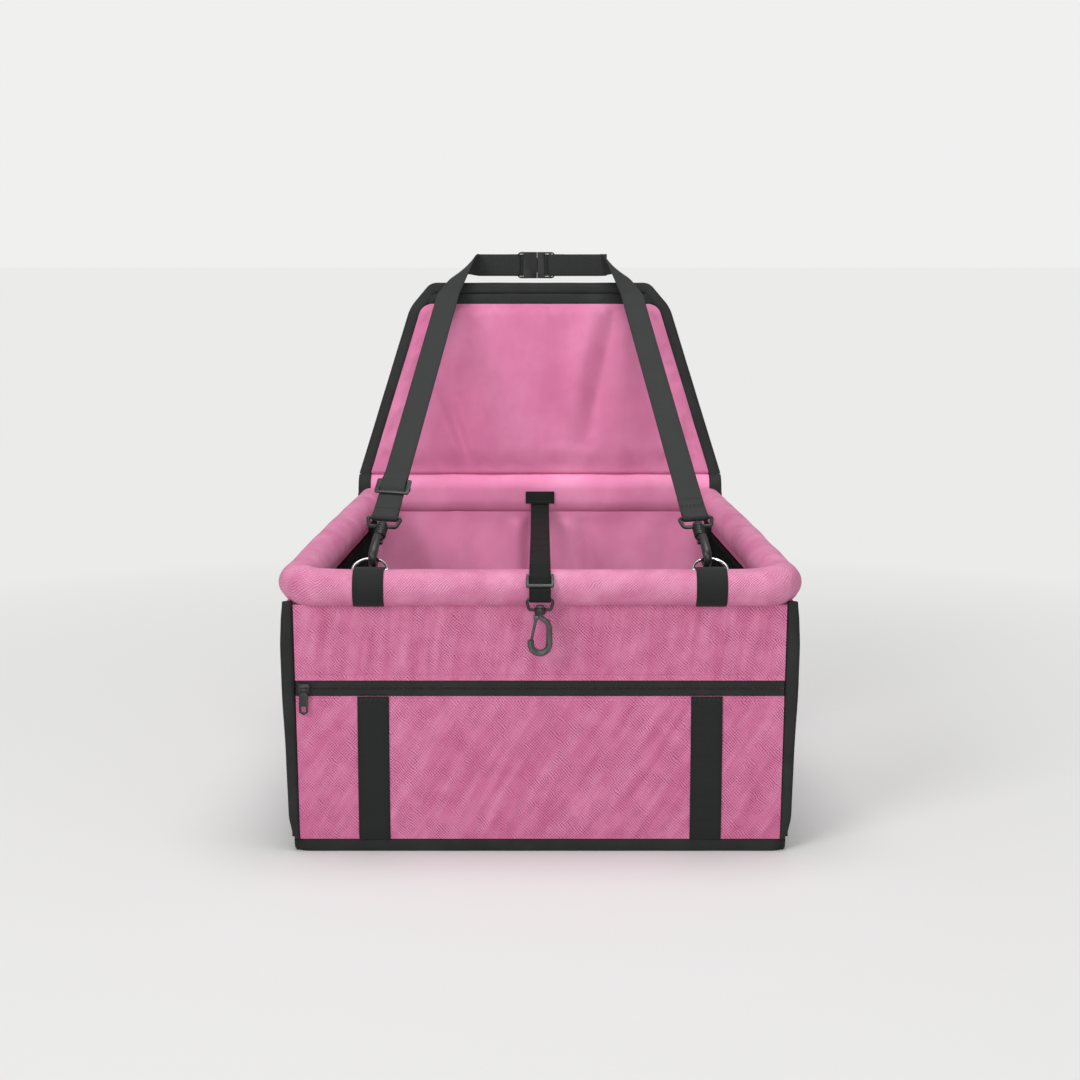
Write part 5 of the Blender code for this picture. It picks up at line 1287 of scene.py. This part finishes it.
# %% The two long straps
socket_bar, plug_bar = in_buckle(-0.0249), in_buckle(0.0115)
for side, name, lap, stations in ((-1, "left", 0.030, (0.096,)), (1, "right", 0.034, (0.098, 0.101, 0.112))):
    origin, along, ahead, across, out = strap_axes(side)
    bar, turn = origin + ahead * HOOK_BAR, HOOK_TURN
    points = [bar + ahead * lap - out * 0.001, bar + ahead * turn * 4 - out * 0.001,
              bar + ahead * turn - out * turn * 0.9]
    points += fold_round_bar(bar, ahead, out, turn)
    points += [bar + ahead * turn + out * turn * 0.9, bar + ahead * turn * 4 + out * 0.001]
    points += [origin + along * share for share in (0.24, 0.31, 0.48, 0.66, 0.84, 1.0)]
    sides = [across] * len(points)
    twist = spline_through([points[-1]] + [Vector((side * x, y, z)) for x, y, z in TWIST_KNOTS], 6)[1:]
    points += twist
    sides += [across.slerp(Z_AXIS * -side, (i + 1) / len(twist)) for i in range(len(twist))]
    if side < 0:
        bar, turn = socket_bar, BUCKLE_TURN
        points += [bar + Vector((-turn * 3, -turn * 0.4, 0)), bar + Vector((-turn, -turn * 0.9, 0))]
        points += fold_round_bar(bar, -X_AXIS, Y_AXIS, turn, 6)
        points += [bar + Vector((-turn, turn * 0.9, 0)), bar + Vector((-turn * 4, turn * 0.8, 0))]
        sides += [sides[-1]] * 11
    strap = roll_strip(f"long_strap_{name}", points, sides, WEB_WIDTH, WEB, 420)
    dress(strap, WEBBING, "webbing", None, [f"strap_{name}"])
    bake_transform(strap)
    for station in stations:
        start = origin + ahead * station - across * 0.0115 + out * 0.0019
        stitch_row(f"strap_stitches_{name}_{station}", start, start + across * 0.023, BLACK_THREAD,
                   "webbing", **FINE_STITCHES)
    print(f"{strap.name}, rows of stitches: {len(stations)}")

# %% Webbing in the slider
# Steps of the fold: how far up from the slider's lower or upper edge, and how far in front.
LOW_STEPS = ((0.0045, 0.0012), (0.0062, 0.0024), (0.009, 0.0040))
HIGH_STEPS = ((-0.006, 0.0046), (-0.001, 0.0046), (0.002, 0.0036), (0.006, 0.0023), (0.012, 0.0018))


def slider_fold(name, centre, across, ahead, out, half, width, body, material=WEBBING):
    """Webbing that comes through the slider's window and folds up over its top bar."""
    steps = [(up - half, front) for up, front in LOW_STEPS] + [(up + half, front) for up, front in HIGH_STEPS]
    points = [centre + ahead * up + out * front for up, front in steps]
    dress(roll_strip(name, points, across, width, WEB, 40), material, "webbing", body)


# The webbing's fold over the slider's top bar slides with the slider.
origin, along, ahead, across, out = strap_axes(-1)
slider_fold("slider_fold", origin + ahead * 0.131, across, ahead, out, 0.0115, 0.0248, "strap_adjuster")

# %% Webbing in the buckle
PLUG_END = 0.0173
turn = BUCKLE_TURN
points = [in_buckle(STRAP_TURN.x + 0.0070, -0.0044, 0.0004), in_buckle(STRAP_TURN.x - 0.004, -0.0019),
          in_buckle(STRAP_TURN.x - 0.012, -0.0010), in_buckle(PLUG_END + turn * 2, -turn * 0.9),
          plug_bar + Vector((turn, -turn, 0))]
points += fold_round_bar(plug_bar, X_AXIS, Y_AXIS, turn)
points += [in_buckle(PLUG_END + turn, turn * 0.95), in_buckle(PLUG_END + turn * 4, turn * 0.9)]
tail = roll_strip("buckle_webbing", points, Z_AXIS, WEB_WIDTH, WEB, 120)
dress(tail, WEBBING, "webbing", None, ["strap_buckle_end"])
bar = plug_bar
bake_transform(tail)
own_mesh(arms)
# A second ply of webbing fills what is left of each slot.
for name, x, body in (("socket", -0.02042, "back_panel"), ("plug", 0.00702, "buckle_male")):
    line = [in_buckle(x, y) for y in (-0.0028, 0, 0.0028)]
    dress(roll_strip(f"webbing_ply_{name}", line, Z_AXIS, 0.0252, 0.0036, 10), WEBBING, "webbing", body)
# The plug's guide blade reaches into the socket's mouth and closes the slit between them.
line = [in_buckle(x) for x in (-0.0058, -0.0030, -0.0004)]
blade = roll_strip("buckle_guide_blade", line, Z_AXIS, 0.0165, 0.0018, 10)
dress(blade, SHADED_BUCKLE_PLASTIC, "moulded_black", "buckle_male")
print("webbing in the slider and the buckle done")


# %% [markdown]
# ## Ring tabs
# Each tab is a short loop of webbing sewn under the rim. It hugs the sleeve, passes round
# the ring's bar and goes back inside.

# %% Tabs
RING_WIRE, RING_ANGLE = 0.0015, 50.0
RING_REACH = SLEEVE + PLAY + RING_WIRE
RING_Y = RIM_FRONT_Y + RING_REACH * math.cos(math.radians(RING_ANGLE))
RING_Z = RIM_FRONT_Z + RING_REACH * math.sin(math.radians(RING_ANGLE))
around, small = SLEEVE + 0.0012, RING_WIRE + PLAY + 0.0008
spread = math.degrees(math.acos((around - small) / RING_REACH))
tab_line = arc(RIM_FRONT_Y, RIM_FRONT_Z, around, 255, RING_ANGLE + spread, 24)
tab_line += arc(RING_Y, RING_Z, small, RING_ANGLE + spread, RING_ANGLE - spread, 8)
tab_line += arc(RIM_FRONT_Y, RIM_FRONT_Z, around, RING_ANGLE - spread, -62, 10)
for side, name in SIDES:
    points = [Vector((side * RING_X, y, z)) for y, z in tab_line]
    tab = roll_strip(f"tab_webbing_{name}", points, X_AXIS, TAB_WIDTH, WEB, 90)
    dress(tab, TAB_WEBBING, "webbing", stands_for=[f"ring_tab_{name}"])
print("tabs done")


# %% [markdown]
# ## Safety tether
# The tether is sewn to the channel under a patch, lies over the basket and the front rim,
# and ends in its own swivel hook. It is held at both ends, so it is laid on its path rather
# than left to hang.

# %% Tether webbing
TETHER_Y, TETHER_BAR = -0.2130, 0.2505
LEAVE = math.radians(130)
web_y = CHANNEL_FRONT - PLAY - WEB / 2
patch_low, patch_high = 0.28015 - PLAY, 0.29365 - PLAY
wrap = arc(RIM_FRONT_Y, RIM_FRONT_Z, SLEEVE + 0.0008 + WEB / 2, 95, 130, 6)
fall = Vector((-math.sin(LEAVE), math.cos(LEAVE)))
leave = Vector(wrap[-1])
turn = around_bar(0.0015)
hang_y = TETHER_Y - turn
knee = leave + fall * ((leave.x - hang_y) / -fall.x)
bend = bend_points(leave.to_3d(), knee.to_3d(), Vector((hang_y, TETHER_BAR, 0)), 0.0039, 4)
line = [(web_y, patch_high), (web_y, patch_low), (web_y - turn, patch_low + PLAY - turn)]
line += [(0.1600, 0.2722), (0.1000, 0.2700), (0.0, 0.2695), (-0.1000, 0.2712), (-0.1550, 0.2742)]
line += wrap + [(p.x, p.y) for p in bend] + arc(TETHER_Y, TETHER_BAR, turn, 180, 360, 8)
line.append((TETHER_Y + turn, TETHER_BAR + 0.009))
points = [Vector((0, y, z)) for y, z in line]
tether = roll_strip("tether_webbing_strap", points, X_AXIS, TETHER_WIDTH, WEB, 360)
dress(tether, TETHER_WEBBING, "webbing", stands_for=["tether_webbing"])
down = Vector((0, fall.x, fall.y))
glide = Vector((0, leave.x, leave.y)) + down * 0.0155 * 0.53
slider_fold("tether_slider_fold", glide, X_AXIS, -down, down.cross(X_AXIS).normalized(), 0.00775, 0.0198,
            "basket", TETHER_WEBBING)

# %% Tether patch
low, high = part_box("tether_anchor")
middle = (low + high) / 2
line = [Vector((0, middle.y, z)) for z in (low.z, middle.z, high.z)]
patch = roll_strip("tether_patch", line, X_AXIS, high.x - low.x, high.y - low.y, 24)
dress(patch, TAB_WEBBING, "webbing", stands_for=["tether_anchor"])
for z in (low.z + 0.0025, high.z - 0.0025):
    start = Vector((-SEAM_WIDTH / 2, low.y - 0.0001, z))
    stitch_row(f"patch_stitches_{z:.4f}", start, start + X_AXIS * SEAM_WIDTH, BLACK_THREAD, "webbing",
               **FINE_STITCHES)
print("tether done")


# %% [markdown]
# ## Studio, light and camera
# A pale floor that fades into a pale background, soft light from above and in front, and
# the camera of the photograph: 69 mm, two metres away, looking slightly down.

# %% Floor
bpy.ops.object.select_all(action="DESELECT")
bpy.ops.mesh.primitive_plane_add(size=30, location=(0, 0, -0.0002))
floor = bpy.context.object
floor.name = "studio_floor"
material, tree, shader, where = new_material("pale studio floor")
set_inputs(shader, Base__Color=(0.70, 0.70, 0.695, 1), Roughness=0.95, Specular__IOR__Level=0.05)
distance = tree.nodes.new("ShaderNodeVectorMath")
distance.operation = "LENGTH"
tree.links.new(where.outputs["Object"], distance.inputs[0])
rays = tree.nodes.new("ShaderNodeLightPath")
far = map_range(tree, distance.outputs["Value"], 0.45, 1.5, 0.0, 1.0)
haze = tree.nodes.new("ShaderNodeEmission")
haze.inputs["Color"].default_value = (0.83, 0.83, 0.825, 1)
fade = tree.nodes.new("ShaderNodeMixShader")
tree.links.new(math_node(tree, "MULTIPLY", far, rays.outputs["Is Camera Ray"]), fade.inputs[0])
tree.links.new(shader.outputs[0], fade.inputs[1])
tree.links.new(haze.outputs[0], fade.inputs[2])
tree.links.new(fade.outputs[0], tree.nodes["Material Output"].inputs[0])
floor.data.materials.append(material)

# %% World, lamps and camera
scene = bpy.context.scene
scene.view_settings.view_transform = "Standard"
scene.world = bpy.data.worlds.new("studio")
scene.world.use_nodes = True
tree = scene.world.node_tree
background = tree.nodes["Background"]
background.inputs["Color"].default_value = (1, 1, 0.995, 1)
rays = tree.nodes.new("ShaderNodeLightPath")
seen = math_node(tree, "MAXIMUM", rays.outputs["Is Camera Ray"], rays.outputs["Is Transmission Ray"])
tree.links.new(map_range(tree, seen, 0, 1, 0.38, 0.87), background.inputs["Strength"])
for name, place, power, size in (("key", (-3.4, -4.2, 3.3), 135, 2.2), ("front", (0.5, -6.0, 1.4), 105, 2.2),
                                 ("top", (0.1, -0.2, 3.2), 62, 2.0)):
    light = bpy.data.lights.new(name, "AREA")
    light.energy = power
    light.size = size
    lamp = bpy.data.objects.new(name, light)
    scene.collection.objects.link(lamp)
    lamp.location = place
    lamp.rotation_euler = (Vector((0, 0, 0.2)) - Vector(place)).to_track_quat("-Z", "Y").to_euler()
lens = bpy.data.cameras.new("photograph")
lens.lens = 69.01
lens.sensor_width = 36
camera = bpy.data.objects.new("photograph", lens)
scene.collection.objects.link(camera)
camera.location = (0, -2.0986, 0.6248)
camera.rotation_euler = (math.pi / 2 - 0.1673, 0, 0)
scene.camera = camera
print("studio done")
